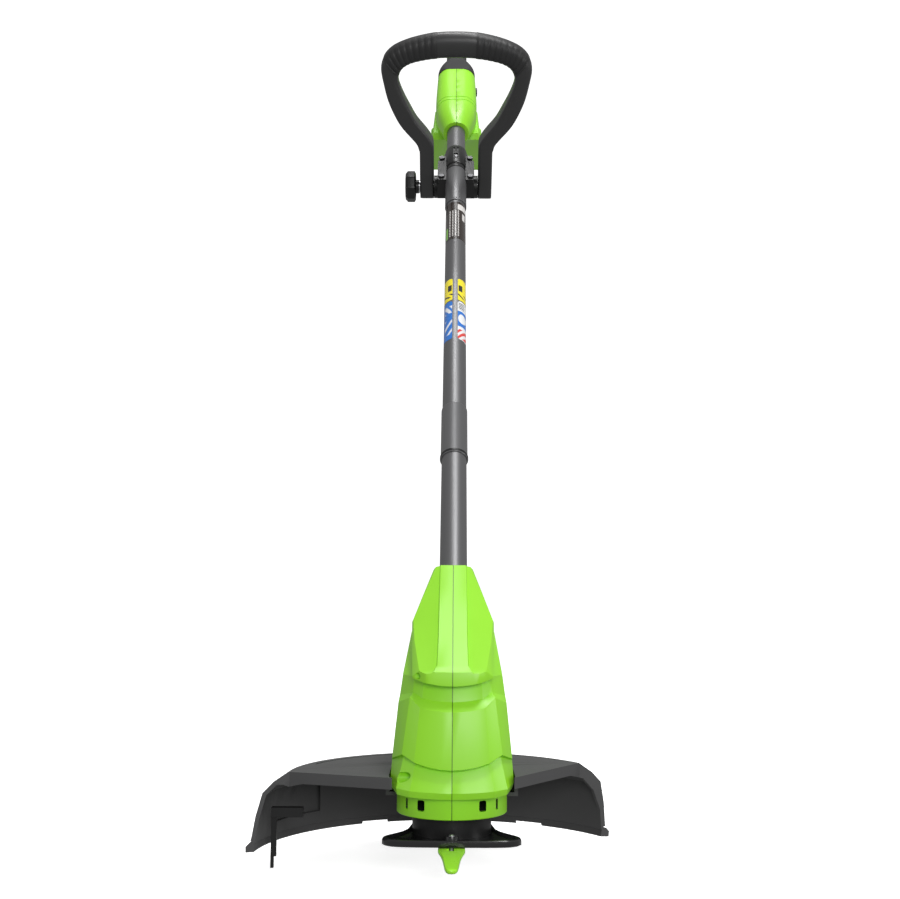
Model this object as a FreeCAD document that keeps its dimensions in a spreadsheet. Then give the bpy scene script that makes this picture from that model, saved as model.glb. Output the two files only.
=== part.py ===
import FreeCAD, Part
import os
import re
import Sketcher
from FreeCAD import Placement, Rotation, Vector

# Battery grass trimmer with a swinging plastic blade.
# The origin is the middle of the cutting disc, on the spindle's axis. +X is the knob's far side,
# +Y runs from the blade back to the user and +Z is up. Lengths are in millimetres.

doc = FreeCAD.newDocument("GrassTrimmer")
sheet = doc.addObject("Spreadsheet::Sheet", "Sizes")

SIZES = {
    # Shaft: it meets the spindle's axis at shaft_foot and leans back; stations run up along it.
    "shaft_lean": 48, "shaft_foot": 100, "tube_radius": 12.5, "tube_wall": 1.4, "tube_foot": 98,
    "tube_joint": 339, "shaft_top": 1008, "sleeve_wall": 0.95, "sleeve_low": 301, "sleeve_high": 377,
    "snap_at": 358, "snap_radius": 3.4, "lead_radius": 2.6,
    # Clearances: pushed together, turning, moving past each other, and round faces left apart.
    "snug": 0.05, "run_gap": 0.08, "part_gap": 0.3, "slide_gap": 0.5,
    # Moulded walls and screws.
    "wall": 2.6, "screw_radius": 1.9, "screw_head": 3.6, "head_height": 3, "pilot": 0.06,
    "boss_radius": 4.8, "screw_reach": 26,
    # Spindle, motor and bearings.
    "spindle_radius": 4, "bearing_radius": 11, "bearing_height": 7,
    "can_radius": 21, "can_wall": 1.6, "can_height": 55, "rotor_radius": "=can_radius - 5",
    "rotor_height": 38,
    "magnet_thick": 2.6, "cap_height": 10,
    # Motor housing: floor, skirt ring below it, flare, barrel, shelf and hood.
    "floor_low": 35, "floor_high": 38, "skirt_low": 18.7, "skirt_radius": 44.7, "skirt_wall": 3.4,
    "vent_wide": 6.5, "vent_high": 8.4, "vent_mid": 27.5,
    "flare_half": 50, "flare_corner": 24, "flare_top": 46, "barrel_low": 60, "barrel_low_half": 48.6,
    "barrel_high": 102, "barrel_high_half": 44.2, "shelf_high": 121, "shelf_half": 41.8,
    "barrel_top": 160, "barrel_top_half": 36, "barrel_front": 46, "shelf_front": 38,
    "hood_low": 121.5, "hood_front": 45, "hood_half": 34.6, "hood_flat": 22, "hood_wide_at": 70,
    "neck_end": 143, "neck_half": 17.7, "neck_flat": 12.8, "socket_wall": 3.4,
    "rib_low": 84, "rib_thick": 4, "plate_thick": 4, "plate_radius": 38, "mount_screw_out": 30,
    # Rotating hub, cutting disc, pin and blade.
    "hub_radius": 32, "hub_high": 30, "hub_wall": 2.6, "disc_low": -1, "disc_thick": 3,
    "disc_reach": 57, "disc_round": 10, "rim_wide": 2.4, "rim_high": 1.6,
    "screw_bore": 2.55, "pin_out": 44.5, "pin_radius": 2.5, "pin_head": 4.2, "pin_boss": 5.5,
    "pin_boss_top": 7.4,
    "blade_thick": 3, "blade_half": 10.5, "blade_tip": 125, "blade_neck": 5.4, "key_step": 9.5,
    # Guard: a slice of a bowl whose centre is in front of the spindle; the arm hangs at its -X end.
    "guard_centre": 30, "guard_top": 50, "guard_low": -12, "guard_radius": 142,
    "guard_foot": "=guard_radius + 19",
    "guard_wall": 3, "guard_rim": 10, "guard_screw_x": 36, "guard_screw_y": 34, "arm_out": "=guard_radius",
    "arm_thick": 3, "arm_wide": 4.5, "arm_low": 26,
    # Clamp bracket and its cross bolt behind the tube.
    "bracket_half": "=tube_radius + 11.8", "bracket_low": 843, "bracket_high": 905, "collar_low": 782,
    "collar_high": 922,
    "collar_wall": 1.2, "hinge_at": 873, "hinge_back": 22, "bolt_radius": 3, "washer_radius": 15,
    "leg_inner": "=bracket_half + 5.1", "leg_wide": 18.6, "ear_thick": 6, "bolt_head": 8, "bolt_past": 13,
    "nut_radius": 6,
    # D handle.
    "handle_high": 178, "handle_half": 94, "bar_deep": 27, "end_radius": 15.4,
    "grip_thick": 2, "grip_in": 21, "grip_out": 62,
    # Knob.
    "knob_radius": 20.5, "knob_thick": 14, "knob_neck": 9, "knob_neck_long": 4,
    # Rear housing, soft grip and trigger.
    "nose_low": "=shaft_top - 27", "nose_wide_at": "=nose_low + 75", "green_end": "=nose_low + 150",
    "grip_end": "=nose_low + 281", "nose_half": 29,
    "body_half": 38, "grip_half": 15.5, "skin_thick": 3,
    "trigger_at": "=nose_low + 165", "trigger_wide": 7, "trigger_pin_radius": 2,
    "trigger_y": 11, "button_at": "=nose_low + 136", "button_y": 4, "button_radius": 6, "button_out": 3.2,
    "terminal_half": 20,
    # Battery bay, tilted from the shaft, and the battery in it.
    "pack_start": 23, "pack_long": 132, "bay_tilt": 29.3, "bay_at": "=nose_low + 104", "bay_down": 115,
    "base_long": "=pack_start + pack_long - 7", "base_high": 62,
    "pack_half": 36.6, "pack_low": 3.6, "pack_high": 52.4,
    "pack_wall": 2.2, "cell_radius": 9.15, "cell_pitch": 18.6, "cell_long": 65, "cell_start": 38,
    "latch_half": 11,
}
for row, (word, length) in enumerate(SIZES.items(), start=1):
    sheet.set("A%d" % row, word)
    sheet.set("B%d" % row, str(length))
    sheet.setAlias("B%d" % row, word)
doc.recompute()


def link(text):
    """Points each size's name in an expression at its cell."""
    return re.sub(r"[a-z_]\w*", lambda word: "Sizes." * (word.group() in SIZES) + word.group(), str(text))


def number(text):
    """The present value of an expression of sizes."""
    return float(sheet.evalExpression(link(text)))


def bind(item, **sizes):
    for name, text in sizes.items():
        item.setExpression(name, link(text))
    return item


# The frames that pieces are drawn in. In the shaft's frame Z is the station and -Y faces up and forward.
HEAD = Placement()
SHAFT = Placement(Vector(0, 0, number("shaft_foot")), Rotation(Vector(1, 0, 0), number("shaft_lean - 90")))
HINGE = SHAFT.multiply(Placement(Vector(0, number("hinge_back"), number("hinge_at")), Rotation()))
BAY_ON_SHAFT = Placement(Vector(0, number("bay_down"), number("bay_at")),
                         Rotation(Vector(1, 0, 0), -number("bay_tilt")))
BAY = SHAFT.multiply(BAY_ON_SHAFT)
ALONG = {
    "x": Rotation(Vector(0, 1, 0), 90),
    "y": Rotation(Vector(1, 0, 0), -90),
    "z": Rotation(),
}
PLANES = {
    "xy": Rotation(),
    "xz": Rotation(Vector(1, 0, 0), 90),
    "yz": Rotation(Vector(1, 1, 1), 120),
}
NORMALS = {"xy": Vector(0, 0, 1), "xz": Vector(0, 1, 0), "yz": Vector(1, 0, 0)}
ROLES = {"xy": "XY_Plane", "xz": "XZ_Plane", "yz": "YZ_Plane"}
pieces = []


def piece(label, item, frame=HEAD):
    """Names a finished sub-part and sets it in its frame."""
    if item.isDerivedFrom("Part::Primitive"):
        item = group(label + "_set", [item])
    item.Label = label
    item.Placement = frame
    pieces.append(item)
    return item


def put(item, x="0", y="0", z="0", turn=Rotation()):
    item.Placement = Placement(Vector(), turn)
    bind(item, **{"Placement.Base.x": x, "Placement.Base.y": y, "Placement.Base.z": z})
    return item


def rod(name, radius, low, high, axis="z", **centre):
    """A round bar from low to high along an axis."""
    item = bind(doc.addObject("Part::Cylinder", name), Radius=radius, Height="(%s) - (%s)" % (high, low))
    return put(item, turn=ALONG[axis], **{**centre, axis: low})


def block(name, x, y, z):
    """A box between two limits along each axis."""
    item = doc.addObject("Part::Box", name)
    for side, (low, high) in zip(("Length", "Width", "Height"), (x, y, z)):
        bind(item, **{side: "(%s) - (%s)" % (high, low)})
    return put(item, x[0], y[0], z[0])


def both(half):
    """The limits of something that reaches as far each side of the middle."""
    return "-(%s)" % half, half


def join(name, *items):
    item = doc.addObject("Part::MultiFuse", name)
    item.Shapes = list(items)
    return item


def carve(name, base, *tools):
    item = doc.addObject("Part::Cut", name)
    item.Base = base
    item.Tool = tools[0] if len(tools) == 1 else join(name + "_tools", *tools)
    return item


def shared(name, *items):
    item = doc.addObject("Part::MultiCommon", name)
    item.Shapes = list(items)
    return item


def group(name, items):
    item = doc.addObject("Part::Compound", name)
    item.Links = list(items)
    return item


def corners(sketch, points):
    """Draws a closed outline whose corners are fixed by expressions of sizes."""
    spots = [Vector(number(across), number(up), 0) for across, up in points]
    lines = [Part.LineSegment(spots[i], spots[(i + 1) % len(spots)]) for i in range(len(spots))]
    sketch.addGeometry(lines, False)
    for i in range(len(spots)):
        sketch.addConstraint(Sketcher.Constraint("Coincident", i, 2, (i + 1) % len(spots), 1))
    for i, texts in enumerate(points):
        for kind, text, spot in zip(("DistanceX", "DistanceY"), texts, spots[i]):
            index = sketch.addConstraint(Sketcher.Constraint(kind, -1, 1, i, 1, spot))
            sketch.renameConstraint(index, "%s%d" % (kind, i))
            bind(sketch, **{"Constraints.%s%d" % (kind, i): text})
    return sketch


def mirrored(points):
    """Adds the other side to an outline given for its +X side, top to bottom or bottom to top."""
    others = [("-(%s)" % across, up) for across, up in reversed(points) if number(across) != 0]
    return points + others


def outline(name, points, plane="xy", level="0"):
    """A flat sketch of its own in one of the frame's planes."""
    sketch = doc.addObject("Sketcher::SketchObject", name)
    where = {"xy": "z", "xz": "y", "yz": "x"}[plane]
    put(sketch, turn=PLANES[plane], **{where: level})
    return corners(sketch, points)


def grown(name, flat, amount, sharp):
    """An outline moved outwards, or inwards for a negative amount."""
    item = doc.addObject("Part::Offset2D", name)
    item.Source = flat
    item.Join = 2 if sharp else 0
    return bind(item, Value=amount)


def softened(name, flat, radius):
    """Rounds an outline's outer corners."""
    inner = grown(name + "_inset", flat, "-(%s)" % radius, True)
    return grown(name + "_soft", inner, radius, False)


def eased(name, flat, radius):
    """Rounds an outline's inner corners."""
    outer = grown(name + "_outset", flat, radius, True)
    return grown(name + "_eased", outer, "-(%s)" % radius, False)


def prism(name, flat, plane, length, middle=True):
    """Raises an outline into a solid, half to each side or all one way."""
    item = doc.addObject("Part::Extrusion", name)
    item.Base = flat
    item.DirMode = "Custom"
    item.Dir = NORMALS[plane]
    item.Solid = True
    item.Symmetric = middle
    return bind(item, LengthFwd=length)


def plate(name, points, plane, length, middle=True, level="0", outer=None, inner=None):
    """A prism of an outline, with its corners rounded when asked."""
    flat = outline(name + "_outline", points, plane, level)
    if outer:
        flat = softened(name, flat, outer)
    if inner:
        flat = eased(name, flat, inner)
    return prism(name, flat, plane, length, middle)


def section(name, half, front, back, corner, level):
    """A rounded rectangle across the frame's Z axis."""
    points = [("-(%s)" % half, front), (half, front), (half, back), ("-(%s)" % half, back)]
    return softened(name, outline(name + "_outline", points, "xy", level), corner)


def loft(name, sections):
    """A solid through sections, straight from each one to the next."""
    item = doc.addObject("Part::Loft", name)
    item.Sections = sections
    item.Solid = True
    item.Ruled = True
    return item


def body_sketch(body, name, plane, points):
    sketch = body.newObject("Sketcher::SketchObject", name)
    support = [item for item in body.Origin.OriginFeatures if item.Role == ROLES[plane]]
    sketch.AttachmentSupport = [(support[0], "")]
    sketch.MapMode = "FlatFace"
    return corners(sketch, points)


def turned(name, points):
    """A body turned about Z; the points are radius and height."""
    body = doc.addObject("PartDesign::Body", name)
    sketch = body_sketch(body, name + "_profile", "xz", points)
    feature = body.newObject("PartDesign::Revolution", name + "_turned")
    feature.Profile = sketch
    feature.ReferenceAxis = (sketch, ["V_Axis"])
    feature.Angle = 360
    body.Tip = feature
    return body


def ring(name, inner, outer, low, high):
    return turned(name, [(inner, low), (outer, low), (outer, high), (inner, high)])


def screw(name, seat, tip, axis="x", **centre):
    """A pan-head screw: its head stands on the seat and its shank points at the tip."""
    forwards = number(tip) > number(seat)
    back = "(%s) - head_height" if forwards else "(%s) + head_height"
    ends = (seat, tip) if forwards else (tip, seat)
    head_ends = (back % seat, seat) if forwards else (seat, back % seat)
    head = rod(name + "_head", "screw_head", *head_ends, axis=axis, **centre)
    shank = rod(name + "_shank", "screw_radius", *ends, axis=axis, **centre)
    return join(name, head, shank)


def screw_hole(name, seat, tip, open_end, axis="x", **centre):
    """Room for a screw: a recess from the open end to the seat and a hole to the tip."""
    recess = rod(name + "_recess", "screw_head + part_gap", *sorted((open_end, seat), key=number),
                 axis=axis, **centre)
    hole = rod(name + "_hole", "screw_radius + pilot", *sorted((seat, tip), key=number), axis=axis, **centre)
    return join(name, recess, hole)


def moved(name, item, frame):
    """The same solid, set in another frame."""
    item_in_frame = group(name, [item])
    item_in_frame.Placement = frame
    return item_in_frame


# Motor housing: two moulded halves that meet on the middle plane.
HOUSING_SCREWS = {
    "flare": {"seat": "-28", "tip": "-28 + screw_reach + 14", "y": "-38", "z": "51"},
    "hood": {"seat": "-20", "tip": "-20 + screw_reach", "y": "-37", "z": "128.3"},
    "heel": {"seat": "-28", "tip": "-28 + screw_reach + 14", "y": "46", "z": "72"},
    "neck": {"seat": "-18", "tip": "-18 + screw_reach", "y": "75", "z": "148"},
}


def barrel(name, inset, low):
    """The column round the motor, leaning back above the motor to follow the shaft."""
    steps = [
        ("flare_half", "-flare_half", "flare_half", low),
        ("flare_half", "-flare_half", "flare_half", "flare_top"),
        ("barrel_low_half", "-barrel_front - 0.5", "flare_half + 1", "barrel_low"),
        ("barrel_high_half", "-barrel_front + 1.5", "62", "barrel_high"),
        ("shelf_half", "-shelf_front", "70", "shelf_high"),
        ("barrel_top_half", "0", "88", "barrel_top"),
    ]
    sections = []
    for i, (half, front, back, level) in enumerate(steps):
        sections.append(section("%s_%d" % (name, i), half + " - " + inset, front + " + " + inset,
                                back + " - " + inset, "flare_corner - %s - %s" % (0.8 * max(0, i - 1),
                                                                                  inset), level))
    return loft(name, sections)


def hood(name, inset):
    """The faceted hood: its top falls in a straight line to the collar round the tube."""
    slope = 0.254
    sections = []
    steps = [("-16", "hood_flat", "hood_half - 3.5", 11, "10"),
             ("hood_wide_at", "hood_flat - 5", "hood_half", 18, "30"),
             ("neck_end", "neck_flat", "neck_half", 8, "neck_half")]
    for i, (station, flat, half, bevel, below) in enumerate(steps):
        top = "neck_half + %s * (neck_end - (%s))" % (slope, station)
        points = mirrored([
            ("%s - %s" % (flat, inset), "-(%s - %s)" % (top, inset)),
            ("%s - %s" % (half, inset), "-(%s - %s - %d)" % (top, inset, bevel)),
            ("%s - %s" % (half, inset), "%s - %s" % (below, inset)),
        ])
        level = station + (" - " + inset if station == "neck_end" else "")
        sections.append(outline("%s_%d" % (name, i), points, "xy", level))
    lean = moved(name + "_leaning", loft(name + "_loft", sections), SHAFT)
    room = block(name + "_room", both("2 * flare_half"), ("-hood_front + " + inset, "4 * flare_half"),
                 ("hood_low + " + inset, "6 * flare_half"))
    return shared(name, lean, room)


def vents():
    """Cooling windows round the front of the skirt."""
    window = block("vent_window", both("vent_wide / 2"), ("-skirt_radius - 5", "-skirt_radius + 8"),
                   ("vent_mid - vent_high / 2", "vent_mid + vent_high / 2"))
    turns = [-54, -34, 34, 54]
    return [moved("vent_%d" % i, window, Placement(Vector(), Rotation(Vector(0, 0, 1), turn)))
            for i, turn in enumerate(turns)]


def motor_housing():
    skirt = ring("skirt_ring", "skirt_radius - skirt_wall", "skirt_radius", "skirt_low", "floor_low + 1")
    outside = join("motor_housing_outside", barrel("barrel", "0", "floor_low"), hood("hood", "0"), skirt)
    room = join("motor_room", barrel("barrel_room", "wall", "floor_high"), hood("hood_room", "wall"))
    socket = moved("tube_socket", rod("tube_socket_bar", "tube_radius + snug + socket_wall",
                                      "tube_foot - 2", "neck_end"), SHAFT)
    bosses = [rod("boss_" + name, "boss_radius", *both("flare_half"), axis="x", y=at["y"], z=at["z"])
              for name, at in HOUSING_SCREWS.items()]
    guard_bosses = [rod("guard_boss_%d" % i, "boss_radius", "floor_low", "flare_top + 1", x=x,
                        y="guard_screw_y")
                    for i, x in enumerate(both("guard_screw_x"))]
    rib = carve("motor_rib", block("motor_rib_plate", both("flare_half"), both("2 * flare_half"),
                                   ("rib_low", "rib_low + rib_thick")),
                rod("motor_rib_hole", "can_radius + part_gap", "rib_low - 1", "rib_low + rib_thick + 1"))
    clear = carve("motor_space", room, socket, rib, *bosses, *guard_bosses)
    bore = moved("tube_bore", rod("tube_bore_bar", "tube_radius + snug", "tube_foot - snug",
                                  "neck_end + 9"), SHAFT)
    lead_way = moved("lead_way", rod("lead_way_bar", "tube_radius - tube_wall", "tube_foot - 9",
                                     "tube_foot + 9"),
                     SHAFT)
    spindle_way = rod("spindle_way", "bearing_radius + 2", "floor_low - 1", "floor_high + 1")
    holes = [screw_hole("housing_hole_" + name, at["seat"], at["tip"], "-2 * flare_half", y=at["y"],
                        z=at["z"])
             for name, at in HOUSING_SCREWS.items()]
    for i, x in enumerate(both("guard_screw_x")):
        holes.append(rod("guard_hole_%d" % i, "screw_radius + pilot", "floor_low - 1", "flare_top - 1",
                         x=x, y="guard_screw_y"))
    for i, turn in enumerate((30, 150, 270)):
        hole = rod("mount_hole_%d" % i, "screw_radius + pilot", "floor_low - 1", "floor_high + 1",
                   x="mount_screw_out")
        holes.append(moved("mount_hole_turned_%d" % i, hole,
                           Placement(Vector(), Rotation(Vector(0, 0, 1), turn))))
    whole = carve("motor_housing_whole", outside, clear, bore, lead_way, spindle_way, *vents(), *holes)
    for side, limits in (("left", ("-4 * flare_half", "0")), ("right", ("0", "4 * flare_half"))):
        space = block("motor_housing_%s_space" % side, limits, both("6 * flare_half"), both("6 * flare_half"))
        piece("motor_housing_" + side, shared("motor_housing_%s_half" % side, whole, space))
    piece("motor_housing_screws", group("motor_housing_screw_set", [
        screw("housing_screw_" + name, at["seat"], at["tip"], y=at["y"], z=at["z"])
        for name, at in HOUSING_SCREWS.items()]))


def motor():
    """Motor stack: mount plate on the floor, can on its boss, cap on the can."""
    plate_top = "floor_high + plate_thick"
    bearing_low = plate_top + " + 1"
    can_low = bearing_low + " + bearing_height"
    can_high = can_low + " + can_height"
    mount = turned("motor_mount_turned", [
        ("spindle_radius + 3", "floor_high"), ("plate_radius", "floor_high"), ("plate_radius", plate_top),
        ("bearing_radius + 4", plate_top), ("bearing_radius + 4", can_low),
        ("bearing_radius + snug", can_low),
        ("bearing_radius + snug", bearing_low), ("spindle_radius + 3", bearing_low)])
    holes, screws = [], []
    for i, turn in enumerate((30, 150, 270)):
        spin = Placement(Vector(), Rotation(Vector(0, 0, 1), turn))
        hole = rod("plate_hole_%d" % i, "screw_radius + pilot", "floor_high - 1", plate_top + " + 1",
                   x="mount_screw_out")
        fastener = screw("mount_screw_%d" % i, plate_top, "floor_low", "z", x="mount_screw_out")
        holes.append(moved("plate_hole_turned_%d" % i, hole, spin))
        screws.append(moved("mount_screw_turned_%d" % i, fastener, spin))
    piece("motor_mount", carve("motor_mount_plate", mount, *holes))
    piece("motor_mount_screws", group("mount_screw_set", screws))
    piece("lower_bearing", ring("lower_bearing_ring", "spindle_radius + run_gap", "bearing_radius",
                                bearing_low, can_low))
    piece("motor_can", turned("motor_can_shell", [
        ("spindle_radius + 3", can_low), ("can_radius", can_low), ("can_radius", can_high),
        ("can_radius - can_wall", can_high), ("can_radius - can_wall", can_low + " + can_wall"),
        ("spindle_radius + 3", can_low + " + can_wall")]))
    magnet_ring = ring("magnet_ring", "can_radius - can_wall - snug - magnet_thick",
                       "can_radius - can_wall - snug", can_low + " + 6", can_high + " - 9")
    gap = block("magnet_gap", both("can_radius"), both("4"), (can_low, can_high))
    piece("motor_magnets", carve("motor_magnet_pair", magnet_ring, gap))
    piece("motor_cap", turned("motor_cap_turned", [
        ("bearing_radius + snug", can_high), ("can_radius", can_high),
        ("can_radius", can_high + " + cap_height - 2"), ("can_radius - 2", can_high + " + cap_height"),
        ("0", can_high + " + cap_height"), ("0", can_high + " + bearing_height + part_gap"),
        ("bearing_radius + snug", can_high + " + bearing_height + part_gap")]))
    piece("upper_bearing", ring("upper_bearing_ring", "spindle_radius + run_gap", "bearing_radius",
                                can_high, can_high + " + bearing_height"))
    core = ring("rotor_core", "spindle_radius + snug", "rotor_radius", can_low + " + 7",
                can_low + " + 7 + rotor_height")
    slot = block("rotor_slot_cut", ("spindle_radius + 4", "rotor_radius + 1"), both("1.4"),
                 (can_low, can_high))
    slots = [moved("rotor_slot_%d" % i, slot, Placement(Vector(), Rotation(Vector(0, 0, 1), 45 * i)))
             for i in range(8)]
    piece("rotor", carve("rotor_slotted", core, *slots))
    piece("motor_shaft", turned("motor_shaft_turned", [
        ("0", "disc_low + disc_thick + 12"), ("screw_bore", "disc_low + disc_thick + 12"),
        ("screw_bore", "disc_low + disc_thick"), ("spindle_radius", "disc_low + disc_thick"),
        ("spindle_radius", can_high + " + bearing_height - 0.5"),
        ("0", can_high + " + bearing_height - 0.5")]))


def cutting_head():
    """Hub, disc, pin and blade below the motor."""
    top = "disc_low + disc_thick"
    piece("spindle_hub", turned("spindle_hub_turned", [
        ("spindle_radius + snug", top), ("hub_radius", top), ("hub_radius", "hub_high"),
        ("hub_radius - hub_wall", "hub_high"), ("hub_radius - hub_wall", top + " + 3"),
        ("spindle_radius + 5", top + " + 3"), ("spindle_radius + 5", "hub_high - 6"),
        ("spindle_radius + snug", "hub_high - 6")]))
    edge = mirrored([("0", "-pin_out - 4.5"), ("26", "-pin_out - 2"), ("42", "-36"),
                     ("disc_reach - 6", "-26"),
                     ("disc_reach", "-15"), ("disc_reach", "-2"), ("disc_reach - 9", "9"), ("40", "22"),
                     ("27", "36"), ("0", "pin_out + 1")])
    flat = softened("disc_edge", outline("disc_outline", edge, "xy", "disc_low"), "disc_round")
    rim_flat = softened("rim_edge", outline("rim_outline", edge, "xy", top), "disc_round")
    body = prism("disc_plate", flat, "xy", "disc_thick", False)
    rim = carve("disc_rim", prism("rim_outer", rim_flat, "xy", "rim_high", False),
                prism("rim_inner", grown("rim_inset", rim_flat, "-rim_wide", False), "xy", "rim_high", False))
    boss = rod("pin_boss_rod", "pin_boss", "disc_low", "pin_boss_top", y="-pin_out")
    pin_hole = rod("pin_hole", "pin_radius + snug", "disc_low - 1", "pin_boss_top + 1", y="-pin_out")
    centre = rod("disc_centre_hole", "screw_bore", "disc_low - 1", top + " + 1")
    piece("cutting_disc", carve("cutting_disc_cut", join("cutting_disc_whole", body, rim, boss), pin_hole,
                                centre))
    piece("disc_screw", join("disc_screw_joined",
                             rod("disc_screw_head", "spindle_radius + 3", "disc_low - 3", "disc_low"),
                             rod("disc_screw_shank", "screw_bore - snug", "disc_low", top + " + 11")))
    blade_top = "disc_low - part_gap"
    blade_low = blade_top + " - blade_thick"
    pin = turned("blade_pin_turned", [
        ("0", blade_low + " - part_gap - 2"), ("pin_head - 1", blade_low + " - part_gap - 2"),
        ("pin_head", blade_low + " - part_gap - 1"), ("pin_head", blade_low + " - part_gap"),
        ("pin_radius", blade_low + " - part_gap"), ("pin_radius", "pin_boss_top + 0.4"),
        ("pin_radius - 0.8", "pin_boss_top + 1"), ("0", "pin_boss_top + 1")])
    piece("blade_pin", pin, Placement(Vector(0, -number("pin_out"), 0), Rotation()))
    shape = mirrored([("0", "-pin_out + 9.5"), ("6", "-pin_out + 9"), ("blade_half", "-pin_out + 5"),
                      ("blade_half", "-pin_out - 16"), ("blade_half - 3.2", "-pin_out - 22"),
                      ("blade_neck + 0.6", "-pin_out - 36"), ("blade_neck", "-blade_tip + 11"),
                      ("0", "-blade_tip")])
    body = prism("blade_plate", softened("blade_edge", outline("blade_outline", shape, "xy", blade_low),
                                         "1.5"),
                 "xy", "blade_thick", False)
    levels = (blade_low + " - 1", blade_top + " + 1")
    narrow = rod("key_narrow", "pin_radius + run_gap", *levels, y="-pin_out")
    wide = rod("key_wide", "pin_head + part_gap", *levels, y="-pin_out - key_step")
    slot = block("key_slot", both("pin_radius + run_gap"), ("-pin_out - key_step", "-pin_out"), levels)
    piece("blade", carve("blade_keyed", body, narrow, wide, slot))


def guard():
    """Rear guard: a sloping wall and top round the back of the disc, and a cup that takes the flare."""
    def bowl(name, inset, base):
        top = "guard_top - " + inset
        item = turned(name, [("0", base), ("guard_foot - " + inset, base), ("guard_radius - " + inset, top),
                             ("0", top)])
        item.Placement = Placement(Vector(0, -number("guard_centre"), 0), Rotation())
        return item

    outer = bowl("guard_bowl", "0", "guard_low")
    inner = bowl("guard_bowl_room", "guard_wall", "guard_low - 1")
    rim_room = bowl("guard_rim_room", "guard_rim", "guard_low - 1")
    level = "guard_low - 5"
    tall = "guard_top - guard_low + 10"
    plan = outline("guard_plan", [
        ("-1.1 * guard_foot", "-14"), ("8 - guard_radius", "4"), ("-flare_half", "-14"), ("flare_half", "-8"),
        ("110", "70"), ("1.1 * guard_foot", "66"), ("1.1 * guard_foot", "1.2 * guard_foot"),
        ("-1.1 * guard_foot", "1.2 * guard_foot")], "xy", level)
    area = prism("guard_area", plan, "xy", tall, False)
    inset = grown("guard_plan_inset", plan, "-guard_wall", True)
    edge = carve("guard_edge", area, prism("guard_inside", inset, "xy", tall, False))
    shell = shared("guard_shell", carve("guard_skin", outer, inner), area)
    rim = shared("guard_rim_strip", carve("guard_rim_skin", outer, rim_room), edge)

    def pocket(name, gap, low, high):
        half = "flare_half + " + gap
        flat = section(name + "_edge", half, "-(%s)" % half, half, "flare_corner + " + gap, low)
        return prism(name, flat, "xy", "(%s) - (%s)" % (high, low), False)

    cup = pocket("guard_cup_outer", "part_gap + guard_wall", "floor_low - part_gap - guard_wall", "guard_top")
    cup_room = pocket("guard_cup_room", "part_gap", "floor_low - part_gap", "guard_top + 1")
    skirt_room = rod("guard_skirt_room", "skirt_radius + part_gap", "guard_low - 9", "guard_top")
    below = pocket("guard_below_cup", "part_gap + guard_wall - 0.01", "guard_low - 6",
                   "floor_low - part_gap - guard_wall")
    cup_wall = shared("guard_cup", cup, area)
    notch = block("guard_notch", both("72"), ("60", "1.2 * guard_foot"), ("guard_low - 1", "guard_low + 8"))
    holes = [rod("guard_screw_hole_%d" % i, "screw_radius + pilot", "floor_low - 12", "floor_low + 1", x=x,
                 y="guard_screw_y") for i, x in enumerate(both("guard_screw_x"))]
    whole = join("guard_whole", carve("guard_open", join("guard_joined", shell, rim), below), cup_wall)
    piece("guard", carve("guard_cut", whole, cup_room, skirt_room, notch, *holes))
    piece("guard_screws", group("guard_screw_set", [
        screw("guard_screw_%d" % i, "floor_low - part_gap - guard_wall", "flare_top - 2", "z", x=x,
              y="guard_screw_y") for i, x in enumerate(both("guard_screw_x"))]))
    clip = block("arm_clip", ("-arm_out - 3.5", "-arm_out + 22"), ("-9", "-1.2"), ("14", "21.5"))
    bar = block("arm_bar", ("-arm_out - arm_wide + 1", "-arm_out + 1"), ("-7", "-7 + arm_thick"),
                ("-arm_low + 9", "15"))
    foot = block("arm_foot", ("-arm_out - arm_wide + 1", "-arm_out - 1"), ("-7", "-7 + arm_thick"),
                 ("-arm_low", "-arm_low + 9"))
    piece("guide_arm", join("guide_arm_joined", clip, bar, foot))


def shaft():
    """Two tubes, the sleeve that couples them and the lead inside."""
    hole_centre = {"z": "snap_at"}
    hole = rod("snap_hole", "snap_radius + run_gap", "0", "2 * tube_radius", axis="y", **hole_centre)
    piece("lower_tube", ring("lower_tube_ring", "tube_radius - tube_wall", "tube_radius", "tube_foot",
                             "tube_joint - snug"), SHAFT)
    upper = ring("upper_tube_ring", "tube_radius - tube_wall", "tube_radius", "tube_joint", "shaft_top")
    piece("upper_tube", carve("upper_tube_cut", upper, hole), SHAFT)
    sleeve = turned("sleeve_turned", [
        ("tube_radius + snug", "sleeve_low"), ("tube_radius + sleeve_wall + snug", "sleeve_low"),
        ("tube_radius + sleeve_wall + snug", "sleeve_high - 1.6"), ("tube_radius + 0.4", "sleeve_high"),
        ("tube_radius + snug", "sleeve_high")])
    piece("coupler_sleeve", carve("sleeve_cut", sleeve, hole), SHAFT)
    flange = "tube_radius - tube_wall - 1.8"
    button = turned("snap_button_turned", [
        ("0", flange + " - 1.3"), ("snap_radius + 1.4", flange + " - 1.3"), ("snap_radius + 1.4", flange),
        ("snap_radius", flange), ("snap_radius", "tube_radius + sleeve_wall + 1"),
        ("snap_radius - 1.2", "tube_radius + sleeve_wall + 2.2"), ("0", "tube_radius + sleeve_wall + 2.4")])
    piece("snap_button", button, SHAFT.multiply(Placement(Vector(0, 0, number("snap_at")), ALONG["y"])))
    piece("power_lead", rod("power_lead_rod", "lead_radius", "tube_foot - 6", "shaft_top + 12",
                            y="-tube_radius + tube_wall + lead_radius + part_gap"), SHAFT)


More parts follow.
